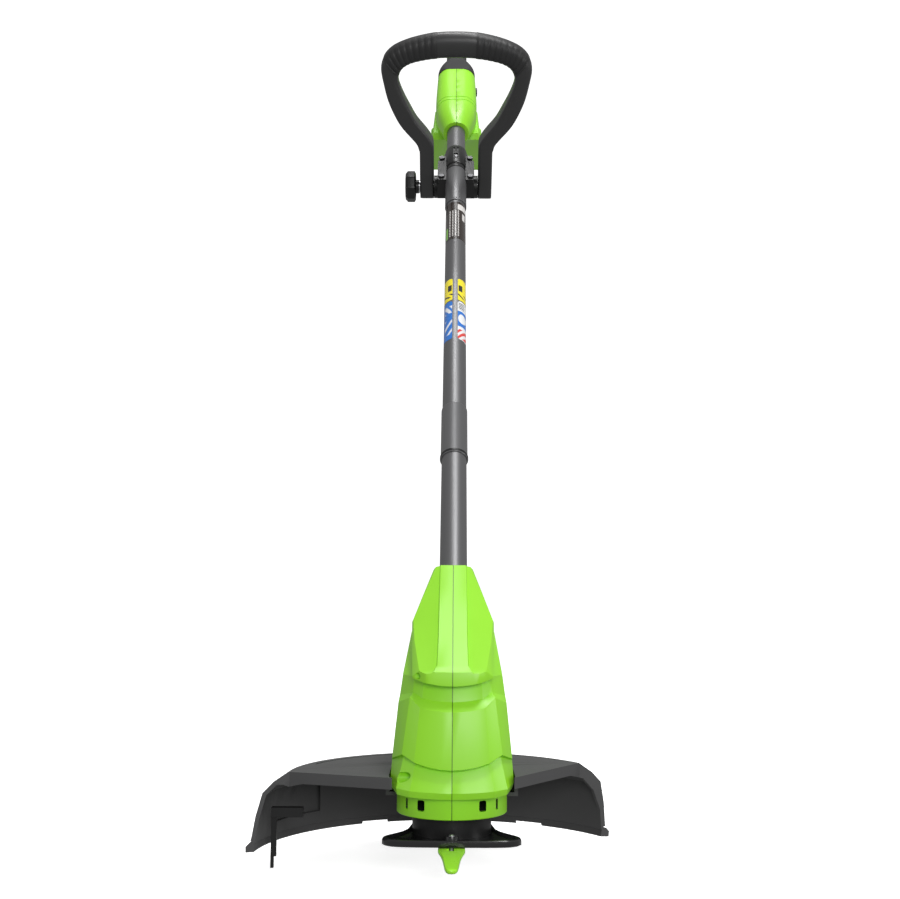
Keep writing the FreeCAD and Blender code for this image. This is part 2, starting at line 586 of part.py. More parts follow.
def bracket():
    """Clamp in two halves round the tube; the handle's cross bolt runs through the back half."""
    tube_space = rod("bracket_bore", "tube_radius + snug", "collar_low - 1", "collar_high + 1")
    bolt_hole = rod("bracket_bolt_hole", "bolt_radius + run_gap", *both("bracket_half + 1"), axis="x",
                    y="hinge_back", z="hinge_at")
    sleeve = rod("bracket_sleeve", "tube_radius + collar_wall + snug", "collar_low", "collar_high")
    collar = rod("bracket_collar", "tube_radius + 3.4", "hinge_at + 8", "collar_high")
    ears = block("bracket_ears", both("bracket_half"), ("-ear_thick", "-snug"),
                 ("bracket_low", "bracket_high"))
    back = block("bracket_block", both("bracket_half"), ("snug", "hinge_back"),
                 ("bracket_low", "bracket_high"))
    boss = rod("bracket_boss", "washer_radius", *both("bracket_half"), axis="x", y="hinge_back", z="hinge_at")
    front_space = block("bracket_front_space", both("2 * bracket_half"), ("-2 * bracket_half", "-snug"),
                        ("collar_low", "collar_high"))
    back_space = block("bracket_back_space", both("2 * bracket_half"), ("snug", "3 * bracket_half"),
                       ("collar_low", "collar_high"))
    places = [{"x": x, "z": z} for x in both("bracket_half - 5.2") for z in ("bracket_low + 7",
                                                                             "bracket_high - 7")]
    holes = [rod("clamp_hole_%d" % i, "screw_radius + pilot", "-ear_thick - 1", "ear_thick + 9", axis="y",
                 **at)
             for i, at in enumerate(places)]
    front = shared("bracket_front_half", join("bracket_front_solid", sleeve, collar, ears), front_space)
    rear = shared("bracket_back_half", join("bracket_back_solid", sleeve, collar, back, boss), back_space)
    piece("bracket_front", carve("bracket_front_cut", front, tube_space, *holes), SHAFT)
    piece("bracket_back", carve("bracket_back_cut", rear, tube_space, bolt_hole, *holes), SHAFT)
    piece("bracket_screws", group("bracket_screw_set", [
        screw("clamp_screw_%d" % i, "-ear_thick", "ear_thick + 8", "y", **at) for i,
        at in enumerate(places)]), SHAFT)
    for side, limits in (("left", ("-leg_inner + part_gap", "-bracket_half")),
                         ("right", ("bracket_half", "leg_inner - part_gap"))):
        disc = rod("toothed_%s_disc" % side, "washer_radius", *limits, axis="x")
        hole = rod("toothed_%s_hole" % side, "bolt_radius + run_gap", *both("leg_inner"), axis="x")
        face = ("leg_inner - part_gap - 0.8", "leg_inner") if side == "right" else ("-leg_inner",
                                                                                  "-leg_inner + part_gap + 0.8")
        cut = block("toothed_%s_cut" % side, face, both("0.7"), ("washer_radius - 5", "washer_radius + 1"))
        cuts = [moved("tooth_%s_%d" % (side, i), cut, Placement(Vector(), Rotation(Vector(1, 0, 0), 20 * i)))
                for i in range(18)]
        piece("toothed_washer_" + side, carve("toothed_%s" % side, disc, hole, *cuts), HINGE)


def handle_outline():
    """The D as seen along the shaft, legs down; -Y is up from the hinge."""
    return mirrored([
        ("0", "-handle_high - 11"), ("58", "-handle_high - 8"), ("handle_half - 22", "-handle_high - 4"),
        ("handle_half - 19", "-handle_high + 14"), ("handle_half - 27", "-handle_high + 46"),
        ("handle_half - 43", "-handle_high + 79"), ("leg_inner + 8", "-handle_high + 97"),
        ("leg_inner", "-handle_high + 117"), ("leg_inner", "end_radius"),
        ("leg_inner + leg_wide", "end_radius"), ("leg_inner + leg_wide", "-handle_high + 123"),
        ("leg_inner + leg_wide + 10", "-handle_high + 107"), ("handle_half - 17", "-handle_high + 80"),
        ("handle_half - 5", "-handle_high + 46"), ("handle_half + 1", "-handle_high + 14"),
        ("handle_half", "-handle_high - 20"), ("handle_half - 12", "-handle_high - 34"),
        ("40", "-handle_high - 38"), ("0", "-handle_high - 39")])


def handle_solid(name, swell):
    """The D with a round back and ends, swelled by a clearance or a skin."""
    flat = eased(name, softened(name, outline(name + "_outline", handle_outline()), "7"), "9")
    if swell != "0":
        flat = grown(name + "_swelled", flat, swell, False)
    front = prism(name + "_front", flat, "xy", "bar_deep + 2 * (%s)" % swell)
    side = outline(name + "_side", [(text, "(%s) * (bar_deep / 2 + %s)" % (sign, swell)) for text, sign in (
        ("-handle_high - 39 - " + swell, -1), ("end_radius + " + swell, -1),
        ("end_radius + " + swell, 1), ("-handle_high - 39 - " + swell, 1))], "yz")
    depth = prism(name + "_depth", softened(name + "_round", side, "bar_deep / 2 - 1"), "yz",
                  "3 * handle_half")
    return shared(name, front, depth)


def d_handle():
    solid = handle_solid("handle", "0")
    bolt_hole = rod("handle_bolt_hole", "bolt_radius + run_gap", *both("handle_half"), axis="x")
    recess = rod("handle_bolt_recess", "bolt_head + part_gap", "leg_inner + leg_wide - 4", "handle_half",
                 axis="x")
    piece("d_handle", carve("handle_cut", solid, bolt_hole, recess), HINGE)
    skin = carve("grip_skin", handle_solid("grip_outside", "grip_thick"), handle_solid("grip_inside", "snug"))
    for side, limits in (("left", ("-grip_out", "-grip_in")), ("right", ("grip_in", "grip_out"))):
        zone = block("grip_%s_zone" % side, limits, ("-2 * handle_high", "-handle_high + 4"),
                     both("bar_deep"))
        piece("handle_grip_" + side, shared("grip_%s_pad" % side, skin, zone), HINGE)
    piece("cross_bolt", join("cross_bolt_joined", rod(
        "cross_bolt_shank", "bolt_radius", "-leg_inner - leg_wide - bolt_past", "leg_inner + leg_wide - 4",
        axis="x"),
        rod("cross_bolt_head", "bolt_head", "leg_inner + leg_wide - 4", "leg_inner + leg_wide - 0.6",
            axis="x")), HINGE)


def knob():
    """Washer, and knob with its nut, on the bolt's -X end."""
    leg = "leg_inner + leg_wide"
    washer_in = "-(%s) - part_gap" % leg
    neck_in = washer_in + " - 1.2 - part_gap"
    grip_in = neck_in + " - knob_neck_long"
    grip_out = grip_in + " - knob_thick"
    washer = rod("knob_washer_rod", "knob_neck - 0.5", washer_in + " - 1.2", washer_in, axis="x")
    washer_hole = rod("knob_washer_hole", "bolt_radius + run_gap", washer_in + " - 2", washer_in + " + 1",
                      axis="x")
    piece("knob_washer", carve("knob_washer_cut", washer, washer_hole), HINGE)
    ring_points = []
    for i in range(8):
        ring_points.append(("knob_radius * cos(%d deg)" % (45 * i + 22.5 - 0.5),
                            "knob_radius * sin(%d deg)" % (
            45 * i + 22.5 - 0.5)))
    flat = softened("knob_edge", outline("knob_outline", ring_points, "yz", grip_out), "3")
    head = prism("knob_head", flat, "yz", "knob_thick", False)
    neck = rod("knob_neck_rod", "knob_neck", grip_in, neck_in, axis="x")
    nut_space = rod("knob_nut_space", "nut_radius + snug", neck_in + " - 8", neck_in + " + 1", axis="x")
    bolt_space = rod("knob_bolt_space", "bolt_radius + part_gap", grip_out + " + 2.4", neck_in, axis="x")
    piece("knob", carve("knob_cut", join("knob_whole", head, neck), nut_space, bolt_space), HINGE)
    nut = rod("knob_nut_rod", "nut_radius", neck_in + " - 8", neck_in + " - 0.2", axis="x")
    nut_hole = rod("knob_nut_hole", "bolt_radius + run_gap", neck_in + " - 9", neck_in + " + 1", axis="x")
    piece("knob_nut", carve("knob_nut_cut", nut, nut_hole), HINGE)


# Rear housing: nose round the tube, body, loop for the fingers and a base that holds the battery.
REAR_SCREWS = {
    "front": {"seat": "-26", "tip": "12", "y": "62", "z": "nose_low + 83"},
    "top": {"seat": "-22", "tip": "12", "y": "34", "z": "green_end - 19"},
    "loop": {"seat": "-9", "tip": "9", "y": "28", "z": "grip_end + 20"},
    "heel": {"seat": "-9", "tip": "9", "y": "122", "z": "grip_end - 22"},
}


def nose(name, inset, low):
    """Swelling nose: it grows from the tube's collar to the width of the grip's front."""
    inset = "(%s)" % inset
    steps = [("17.5", "-17.5", "17.5", 14, low), ("21", "-20.5", "24", 15, "nose_low + 23"),
             ("nose_half", "-24", "40", 20, "nose_wide_at"),
             ("nose_half - 1.5", "-26", "46", 18, "green_end")]
    return loft(name, [section("%s_%d" % (name, i), half + " - " + inset, front + " + " + inset,
                               back + " - " + inset, "%d - %s" % (corner, inset), level)
                       for i, (half, front, back, corner, level) in enumerate(steps)])


def hand_grip(name, inset, low="green_end", high="grip_end + 8"):
    """The grip: it narrows behind the nose and falls away towards the back of the loop."""
    inset = "(%s)" % inset
    steps = [("nose_half - 1.5", "-26", "30", 18, low), ("grip_half - 1", "-14", "23", 12, "green_end + 45"),
             ("grip_half", "-4.5", "31", 13, "green_end + 89"), ("grip_half", "5", "42", 13, high)]
    return loft(name, [section("%s_%d" % (name, i), half + " - " + inset, front + " + " + inset,
                               back + " - " + inset, "%d - 0.9 * (%s)" % (corner, inset), level)
                       for i, (half, front, back, corner, level) in enumerate(steps)])


def body_block(name, inset, half):
    flat = outline(name + "_outline", [
        ("8", "nose_low + 22"), ("22", "nose_low + 24"), ("bay_down - 1", "bay_at"), ("90", "green_end + 9"),
        ("40", "green_end + 9"), ("31", "green_end"), ("8", "green_end")], "yz")
    if inset != "0":
        flat = grown(name + "_inset", flat, "-" + inset, True)
    return prism(name, flat, "yz", "2 * (%s)" % half)


def loop_bar(name, inset, half):
    """Bar that closes the loop behind the fingers."""
    flat = softened(name, outline(name + "_outline", [
        ("3", "grip_end - 1"), ("7", "grip_end + 22"), ("22", "grip_end + 35"), ("47", "grip_end + 35"),
        ("140", "grip_end - 4"), ("138", "grip_end - 36"), ("112", "grip_end - 34"), ("50", "grip_end"),
        ("42", "grip_end - 1")], "yz"), "5")
    if inset != "0":
        flat = grown(name + "_inset", flat, "-" + inset, True)
    return prism(name, flat, "yz", "2 * (%s)" % half)


def rear_housing():
    base = moved("base_on_shaft", block("base_block", both("body_half"), ("-base_high", "0"), ("0",
                                                                                               "base_long")),
                 BAY_ON_SHAFT)
    bay = moved("bay_on_shaft", block("bay_space", both("pack_half + slide_gap"),
                                      ("-pack_high - slide_gap", "-pack_low + slide_gap"),
                                      ("pack_start - part_gap", "base_long + 1")), BAY_ON_SHAFT)
    latch_way = moved("latch_way_on_shaft", block("latch_way", both("latch_half + slide_gap"),
                                                  ("-pack_high - 4.2", "-pack_high"),
                                                  ("pack_start + pack_long - 22", "base_long + 1")),
                                                  BAY_ON_SHAFT)
    wiring = moved("wiring_on_shaft", block("wiring_space", both("body_half - wall"), ("-base_high + 4",
                                                                                       "-wall"),
                                            ("wall", "pack_start - part_gap - 3")), BAY_ON_SHAFT)
    window = moved("window_on_shaft", block("terminal_window", both("terminal_half + part_gap"),
                                            ("-41 - part_gap", "-13 + part_gap"), ("15", "pack_start")),
                                            BAY_ON_SHAFT)
    core = hand_grip("grip_core", "skin_thick + 0.2", "green_end", "grip_end")
    outside = join("rear_outside", nose("nose", "0", "nose_low"), core,
                   body_block("body", "0", "body_half - 2"),
                   loop_bar("loop", "0", "grip_half - 0.5"), base)
    room = join("rear_room", nose("nose_room", "wall", "nose_low + 24"),
                hand_grip("grip_room", "skin_thick + wall", "green_end - 1", "grip_end - 6"),
                body_block("body_room", "wall", "body_half - 2 - wall"),
                loop_bar("loop_room", "wall", "grip_half - 0.5 - wall"))
    bosses = [rod("rear_boss_" + name, "boss_radius", *both("body_half"), axis="x", y=at["y"], z=at["z"])
              for name, at in REAR_SCREWS.items()]
    sides = (("-grip_half - 9", "-trigger_wide - 1"), ("trigger_wide + 1", "grip_half + 9"))
    pin_bosses = [rod("pin_boss_%d" % i, "trigger_pin_radius + 2.6", *ends, axis="x", y="trigger_y",
                      z="trigger_at")
                  for i, ends in enumerate(sides)]
    stop = rod("tube_stop", "tube_radius + snug + socket_wall", "nose_low + 20", "shaft_top + 3")
    clear = carve("rear_space", room, stop, *bosses, *pin_bosses)
    bore = rod("rear_bore", "tube_radius + snug", "nose_low - 1", "shaft_top + snug")
    lead_way = rod("rear_lead_way", "tube_radius - tube_wall", "shaft_top - 1", "shaft_top + 5")
    trigger_way = block("trigger_way", both("trigger_wide + slide_gap"), ("2", "52"),
                        ("trigger_at - 8", "trigger_at + 46"))
    pin_hole = rod("trigger_pin_hole", "trigger_pin_radius + snug", *both("trigger_wide + 6"), axis="x",
                   y="trigger_y", z="trigger_at")
    button_hole = rod("button_hole", "button_radius + part_gap", "nose_half - 9", "nose_half + 9", axis="x",
                      y="button_y", z="button_at")
    holes = [screw_hole("rear_hole_" + name, at["seat"], at["tip"], "-2 * body_half", y=at["y"], z=at["z"])
             for name, at in REAR_SCREWS.items()]
    whole = carve("rear_whole", outside, clear, bay, latch_way, wiring, window, bore, lead_way, trigger_way,
                  pin_hole, button_hole, *holes)
    for side, limits in (("left", ("-4 * body_half", "0")), ("right", ("0", "4 * body_half"))):
        space = block("rear_%s_space" % side, limits, ("-100", "260"), ("nose_low - 9", "2 * nose_low"))
        piece("rear_housing_" + side, shared("rear_housing_%s_half" % side, whole, space), SHAFT)
    piece("rear_housing_screws", group("rear_screw_set", [
        screw("rear_screw_" + name, at["seat"], at["tip"], y=at["y"], z=at["z"])
        for name, at in REAR_SCREWS.items()]), SHAFT)
    skin_zone = block("skin_zone", both("body_half"), ("-60", "29"), ("green_end + snug", "grip_end - 4"))
    skin_low = block("skin_low_zone", both("body_half"), ("-60", "60"), ("green_end + 45", "grip_end - 4"))
    skin = carve("skin_shell", hand_grip("grip_skin_outside", "0", "green_end", "grip_end"),
                 hand_grip("grip_skin_inside", "skin_thick", "green_end", "grip_end"))
    zone = join("skin_zones", skin_zone, skin_low)
    trigger_room = block("trigger_room", both("trigger_wide + slide_gap"), ("4", "60"),
                         ("trigger_at - 14", "trigger_at + 46"))
    piece("soft_grip", carve("soft_grip_cut", shared("soft_grip_whole", skin, zone), trigger_room), SHAFT)


def controls():
    """Trigger with its pin and switch, and the lock-off button."""
    lever = plate("trigger_lever", [
        ("trigger_y - 4", "trigger_at - 4"), ("trigger_y + 4", "trigger_at - 4"),
        ("trigger_y + 32", "trigger_at + 14"), ("trigger_y + 35", "trigger_at + 22"),
        ("trigger_y + 27", "trigger_at + 36"), ("trigger_y + 9", "trigger_at + 42"),
        ("trigger_y - 1", "trigger_at + 38")], "yz", "2 * trigger_wide", outer="2.5")
    finger = rod("trigger_finger", "15", *both("trigger_wide + 1"), axis="x", y="trigger_y + 44",
                 z="trigger_at + 41")
    hole = rod("trigger_hole", "trigger_pin_radius + run_gap", *both("trigger_wide + 1"), axis="x",
               y="trigger_y", z="trigger_at")
    piece("trigger", carve("trigger_cut", lever, finger, hole), SHAFT)
    piece("trigger_pin", rod("trigger_pin_rod", "trigger_pin_radius", *both("trigger_wide + 5.9"), axis="x",
                             y="trigger_y", z="trigger_at"), SHAFT)
    piece("power_switch", block("power_switch_block", both("6"), ("-7.2", "0"),
                                ("trigger_at + 12", "trigger_at + 30")),
          SHAFT)
    stem = rod("button_stem", "button_radius", "nose_half - 7", "nose_half - 1.5 + button_out", axis="x",
               y="button_y", z="button_at")
    flange = rod("button_flange", "button_radius + 1.8", "nose_half - 7.6", "nose_half - 4.6", axis="x",
                 y="button_y", z="button_at")
    piece("lock_off_button", join("lock_off_button_joined", stem, flange), SHAFT)
    piece("control_board", block("control_board_block", both("body_half - wall - part_gap"),
                                 ("-base_high + 6", "-wall - part_gap"), ("8", "9.6")), BAY)


def battery():
    """Battery pack that slides out of the base, with its cells, contacts and latch."""
    end = "pack_start + pack_long"
    split = "-(pack_low + pack_high) / 2"

    def tub(name, low, high, floor_low, floor_high):
        shell = block(name, both("pack_half"), (low, high), ("pack_start", end))
        space = block(name + "_space", both("pack_half - pack_wall"), (floor_low, floor_high),
                      ("pack_start + pack_wall", end + " - pack_wall"))
        return shell, space

    slots = [block("contact_slot_%d" % i, ("%d - 1.2" % x, "%d + 1.2" % x), ("-38", "-16"),
                   ("pack_start - 1", "pack_start + pack_wall + 1")) for i, x in enumerate((-14, 0, 14))]
    tail = block("latch_window", both("latch_half + part_gap"), ("-pack_high + pack_wall", "-pack_high + 9"),
                 (end + " - pack_wall - 1", end + " + 1"))
    top = block("latch_top_window", both("latch_half + part_gap"), ("-pack_high - 1", "-pack_high + 4"),
                (end + " - 21", end + " - 9"))
    shell, space = tub("battery_case_tub", split, "-pack_low", split + " - 1", "-pack_low - pack_wall")
    piece("battery_case", carve("battery_case_cut", shell, space, *slots), BAY)
    shell, space = tub("battery_lid_tub", "-pack_high", split, "-pack_high + pack_wall", split + " + 1")
    piece("battery_lid", carve("battery_lid_cut", shell, space, tail, top, *slots), BAY)
    cells = [rod("cell_%d_%d" % (row, i), "cell_radius", *both("cell_long / 2"), axis="x",
                 y="-pack_low - pack_wall - part_gap - cell_radius - %d * cell_pitch" % row,
                 z="cell_start + cell_radius + %d * cell_pitch" % i) for row in range(2) for i in range(6)]
    piece("battery_cells", group("battery_cell_set", cells), BAY)
    blades = [block("contact_blade_%d" % i, ("%d - 0.4" % x, "%d + 0.4" % x), ("-36", "-18"),
                    ("pack_start - 1.5", "pack_start + 9")) for i, x in enumerate((-14, 0, 14))]
    holder = block("terminal_holder", both("terminal_half"), ("-41", "-13"), ("16", "pack_start - 1.5"))
    piece("terminal_block", join("terminal_block_joined", holder, *blades), BAY)
    clips = []
    for i, x in enumerate((-14, 0, 14)):
        for side, (low, high) in (("a", ("%d - 2.6" % x, "%d - 0.5 - part_gap" % x)),
                                  ("b", ("%d + 0.5 + part_gap" % x, "%d + 2.6" % x))):
            clips.append(block("clip_%s_%d" % (side, i), (low, high), ("-37", "-17"),
                               ("pack_start + pack_wall + part_gap", "cell_start - 0.6")))
    piece("battery_contacts", group("battery_contact_set", clips), BAY)
    tooth = block("latch_tooth", both("latch_half"), ("-pack_high - 3", "-pack_high + 5.4"),
                  (end + " - 20", end + " - 10"))
    arm = block("latch_arm", both("latch_half"), ("-pack_high + pack_wall + part_gap", "-pack_high + 5.4"),
                (end + " - 20", end + " + 6"))
    thumb = block("latch_thumb", both("latch_half"), ("-pack_high + pack_wall + part_gap", "-pack_high + 8"),
                  (end + " + 0.6", end + " + 6"))
    piece("battery_latch", join("battery_latch_joined", tooth, arm, thumb), BAY)


for build in (motor_housing, motor, cutting_head, guard, shaft, bracket, d_handle, knob, rear_housing,
              controls, battery):
    build()
doc.recompute()

faults = [item.Name for item in doc.Objects if "Invalid" in item.State or "Error" in item.State]
faults += [item.Label for item in pieces if item.Shape.isNull() or not item.Shape.isValid()]
if faults:
    raise RuntimeError("failed: " + ", ".join(faults))
os.makedirs("parts", exist_ok=True)
for item in pieces:
    item.Shape.exportStep("parts/%s.step" % item.Label)
print(len(pieces), "pieces")
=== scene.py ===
import math

import bmesh
import bpy
import numpy as np
from mathutils import Matrix, Vector


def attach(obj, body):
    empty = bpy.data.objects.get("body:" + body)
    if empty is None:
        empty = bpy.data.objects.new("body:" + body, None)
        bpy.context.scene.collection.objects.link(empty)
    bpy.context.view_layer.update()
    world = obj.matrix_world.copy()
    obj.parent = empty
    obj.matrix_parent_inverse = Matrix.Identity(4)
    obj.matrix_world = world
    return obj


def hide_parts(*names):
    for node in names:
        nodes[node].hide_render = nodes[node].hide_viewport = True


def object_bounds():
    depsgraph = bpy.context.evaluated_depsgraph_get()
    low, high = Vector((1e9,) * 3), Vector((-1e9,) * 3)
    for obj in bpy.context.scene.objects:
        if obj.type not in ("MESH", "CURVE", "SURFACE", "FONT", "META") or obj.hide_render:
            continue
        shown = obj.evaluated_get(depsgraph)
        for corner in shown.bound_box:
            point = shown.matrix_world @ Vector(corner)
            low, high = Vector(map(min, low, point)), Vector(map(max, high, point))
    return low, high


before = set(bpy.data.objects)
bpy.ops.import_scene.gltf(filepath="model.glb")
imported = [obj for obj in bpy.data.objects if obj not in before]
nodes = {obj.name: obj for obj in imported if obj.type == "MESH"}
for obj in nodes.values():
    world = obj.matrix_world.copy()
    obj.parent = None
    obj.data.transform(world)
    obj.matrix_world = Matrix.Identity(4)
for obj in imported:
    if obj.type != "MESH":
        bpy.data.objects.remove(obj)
cad_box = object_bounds()

# The studio: a white cove that the trimmer stands in, broad lights over the front and at each side, and the
# camera low in front of the blade, looking slightly up the shaft. The cove shows, but throws no light back.
floor_level = cad_box[0].z - 0.002
cove_front, cove_back, cove_top, cove_half, cove_turn = -3.0, 5.0, 7.0, 3.6, 1.2
cove = bmesh.new()
cove_line = [(cove_front, 0.0)] + [
    (cove_back + cove_turn * math.sin(turn), cove_turn * (1 - math.cos(turn)))
    for turn in np.linspace(0, math.pi / 2, 17)
] + [(cove_back + cove_turn, cove_top)]
for back, up in cove_line:
    for side in (-cove_half, cove_half):
        cove.verts.new((side, back, floor_level + up))
cove.verts.ensure_lookup_table()
for step in range(len(cove_line) - 1):
    cove.faces.new([cove.verts[2 * step + corner] for corner in (0, 1, 3, 2)]).smooth = True
cove_mesh = bpy.data.meshes.new("cove")
cove.to_mesh(cove_mesh)
cove_sheet = bpy.data.objects.new("cove", cove_mesh)
bpy.context.scene.collection.objects.link(cove_sheet)
cove_sheet.visible_diffuse = False
cove_sheet.visible_glossy = False
paper = bpy.data.materials.new("paper")
paper.use_nodes = True
for socket, value in (("Base Color", (0.93, 0.93, 0.93, 1)), ("Roughness", 0.9),
                      ("Emission Color", (1, 1, 1, 1)), ("Emission Strength", 0.8)):
    paper.node_tree.nodes["Principled BSDF"].inputs[socket].default_value = value
cove_mesh.materials.append(paper)

bpy.context.scene.view_settings.view_transform = "Standard"
sky = bpy.data.worlds.new("studio")
sky.use_nodes = True
sky.node_tree.nodes["Background"].inputs["Color"].default_value = (1, 1, 1, 1)
sky.node_tree.nodes["Background"].inputs["Strength"].default_value = 0.34
bpy.context.scene.world = sky
for light_name, spot, aim, wide, power in (
    ("key_light", (0.6, -0.35, 2.6), (0, 0.0, 0.2), 0.5, 25),
    ("front_light", (0.5, -2.4, 0.9), (0, 0.3, 0.4), 0.9, 26),
    ("top_light", (0.0, 0.5, 2.6), (0, 0.4, 0.4), 0.5, 13),
    ("left_light", (-1.9, -0.9, 0.7), (0, 0.2, 0.3), 0.6, 2.6),
    ("right_light", (1.9, -0.5, 0.7), (0, 0.2, 0.3), 0.6, 7),
):
    lamp = bpy.data.lights.new(light_name, "AREA")
    lamp.size = wide
    lamp.energy = power
    lamp_object = bpy.data.objects.new(light_name, lamp)
    lamp_object.location = spot
    lamp_object.rotation_euler = (Vector(aim) - Vector(spot)).to_track_quat("-Z", "Y").to_euler()
    bpy.context.scene.collection.objects.link(lamp_object)

camera = bpy.data.objects.new("camera", bpy.data.cameras.new("camera"))
camera.data.lens = 50
camera.data.sensor_width = 36
camera.data.shift_x = -0.0046
camera.location = (0, -1.040, 0.2022)
camera_pitch = Matrix.Rotation(math.radians(96.1), 3, "X")
camera_roll = Matrix.Rotation(math.radians(0.37), 3, "Z")
camera.rotation_euler = (camera_pitch @ camera_roll).to_euler()
bpy.context.scene.collection.objects.link(camera)
bpy.context.scene.camera = camera


# Motor housing: two halves in bright green nylon, spark-textured in the mould, screwed together down the
# middle. A faceted barrel goes round the motor, a hood with a raised rib runs up to the tube, and a slotted
# skirt hides the hub.
class Blend:
    """Something that varies over a surface. Arithmetic on it adds the nodes that work it out."""

    def __init__(self, tree, socket):
        self.tree = tree
        self.socket = socket

    def node(self, kind, settings, inputs, out=0):
        """Adds a node: its settings first, then the values or links of its sockets."""
        made = self.tree.nodes.new("ShaderNode" + kind)
        for word, choice in settings.items():
            if word == "stops":
                for stop, (place, shade) in zip(made.color_ramp.elements, choice):
                    stop.position = place
                    stop.color = shade
            else:
                setattr(made, word, choice)
        for word, value in inputs.items():
            if isinstance(value, Blend):
                self.tree.links.new(value.socket, made.inputs[word])
            else:
                made.inputs[word].default_value = value
        return Blend(self.tree, made.outputs[out])

    def sum(self, operation, first, second):
        return self.node("Math", {"operation": operation}, {0: first, 1: second})

    def __add__(self, other):
        return self.sum("ADD", self, other)

    def __mul__(self, other):
        return self.sum("MULTIPLY", self, other)

    def __sub__(self, other):
        return self.sum("SUBTRACT", self, other)

    def __rsub__(self, other):
        return self.sum("SUBTRACT", other, self)

    __radd__ = __add__
    __rmul__ = __mul__

    def past(self, edge, soft):
        """0 below an edge and 1 above it, fading over twice soft."""
        return self.node("MapRange", {}, {"Value": self, "From Min": edge - soft, "From Max": edge + soft})

    def between(self, low, high, soft):
        return self.past(low, soft) * (1 - self.past(high, soft))

    def paint(self, first, second):
        """The first colour where this is 0 and the second where it is 1."""
        mix = {0: self}
        for socket, shade in ((6, first), (7, second)):
            mix[socket] = shade if isinstance(shade, Blend) else (*shade, 1)
        return self.node("Mix", {"data_type": "RGBA"}, mix, out=2)


def finish(name, roughness, metallic=0.0, coat=0.0):
    """A new material with the settings that are the same all over it, and the place on its piece."""
    material = bpy.data.materials.new(name)
    material.use_nodes = True
    shader = material.node_tree.nodes["Principled BSDF"]
    shader.inputs["Roughness"].default_value = roughness
    shader.inputs["Metallic"].default_value = metallic
    shader.inputs["Coat Weight"].default_value = coat
    place = material.node_tree.nodes.new("ShaderNodeTexCoord").outputs["Object"]
    return material, shader, Blend(material.node_tree, place)


def feed(shader, **blends):
    for word, blend in blends.items():
        blend.tree.links.new(blend.socket, shader.inputs[word.replace("_", " ")])


def moulded(name, shade, roughness, grain=0.6, depth=0.25, tone=0.05, coat=0.0, shine=0.5, shade_seam=False):
    """Moulded plastic with a fine spark texture and a slow drift in colour, with painted shade along the seam
    where two halves meet.
    """
    material, shader, place = finish(name, roughness, coat=coat)
    shader.inputs["Specular IOR Level"].default_value = shine
    drift = place.node("TexNoise", {}, {"Vector": place, "Scale": 28, "Detail": 3})
    spark = place.node("TexNoise", {}, {"Vector": place, "Scale": 1000 / grain, "Detail": 2})
    pale = [channel * (1 + tone) for channel in shade]
    deep = [channel * (1 - tone) for channel in shade]
    colour = drift.paint(deep, pale)
    # Painted shade: near x = 0 the colour drops to a quarter, standing in for the shadow in the seam between
    # the halves.
    if shade_seam:
        off_middle = place.node("SeparateXYZ", {}, {0: place}, out=0) * 1000
        seam_shade = [channel * 0.25 for channel in shade]
        colour = (off_middle * off_middle).past(0.13, 0.09).paint(seam_shade, colour)
    feed(shader, Base_Color=colour, Roughness=drift * 0.12 + spark * 0.1 + (roughness - 0.11),
         Normal=place.node("Bump", {}, {"Height": spark, "Strength": depth, "Distance": 0.00015}))
    return material


def mesh_of(loops, closed=False):
    """A skin over loops of points in millimetres, with its two ends capped or joined."""
    count, around = len(loops), len(loops[0])
    mesh = bpy.data.meshes.new("skin")
    faces = []
    for row in range(count if closed else count - 1):
        after = (row + 1) % count
        for column in range(around):
            beside = (column + 1) % around
            faces.append((row * around + column, row * around + beside, after * around + beside,
                          after * around + column))
    if not closed:
        faces.append(tuple(reversed(range(around))))
        faces.append(tuple(range((count - 1) * around, count * around)))
    points = [tuple(0.001 * value for value in point) for loop in loops for point in loop]
    mesh.from_pydata(points, [], faces)
    tidy = bmesh.new()
    tidy.from_mesh(mesh)
    bmesh.ops.remove_doubles(tidy, verts=tidy.verts, dist=1e-6)
    bmesh.ops.recalc_face_normals(tidy, faces=tidy.faces)
    tidy.to_mesh(mesh)
    tidy.free()
    return mesh


def body_of(mesh, place=Matrix()):
    """A loose object of a mesh, to cut with or to finish."""
    mesh.transform(place)
    made = bpy.data.objects.new("loose", mesh)
    bpy.context.scene.collection.objects.link(made)
    return made


def settled(item):
    """Bakes an object's modifiers into its mesh."""
    view = bpy.context.evaluated_depsgraph_get()
    mesh = bpy.data.meshes.new_from_object(item.evaluated_get(view))
    item.modifiers.clear()
    item.data = mesh
    return item


def cut(item, *tools, how="DIFFERENCE"):
    """Takes tools from an object, adds them to it or keeps what they share."""
    for tool in tools:
        step = item.modifiers.new("cut", "BOOLEAN")
        step.operation = how
        step.object = tool
        step.solver = "MANIFOLD"
        settled(item)
        bpy.data.objects.remove(tool)
    return item


def done(name, item, material, body, edge=0.0, crisp=32, stands_for=()):
    """Names a finished piece, softens its edges, gives it its material and sets it on its body."""
    item.name = name
    item.data.name = name
    item.data.materials.clear()
    item.data.materials.append(material)
    if edge:
        step = item.modifiers.new("edge", "BEVEL")
        step.width = edge * 0.001
        step.segments = 2
        step.limit_method = "ANGLE"
        step.angle_limit = math.radians(crisp)
        step.harden_normals = False
        settled(item)
    for face in item.data.polygons:
        face.use_smooth = True
        face.material_index = 0
    item.data.set_sharp_from_angle(angle=math.radians(crisp + 6))
    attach(item, body)
    if stands_for:
        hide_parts(*stands_for)
    return item


def round_bar(radius, low, high, place=Matrix(), sides=48):
    """A round bar along Z of a place, in millimetres."""
    turns = [2 * math.pi * side / sides for side in range(sides)]
    ring = [(radius * math.cos(turn), radius * math.sin(turn)) for turn in turns]
    return prism(ring, low, high, place)


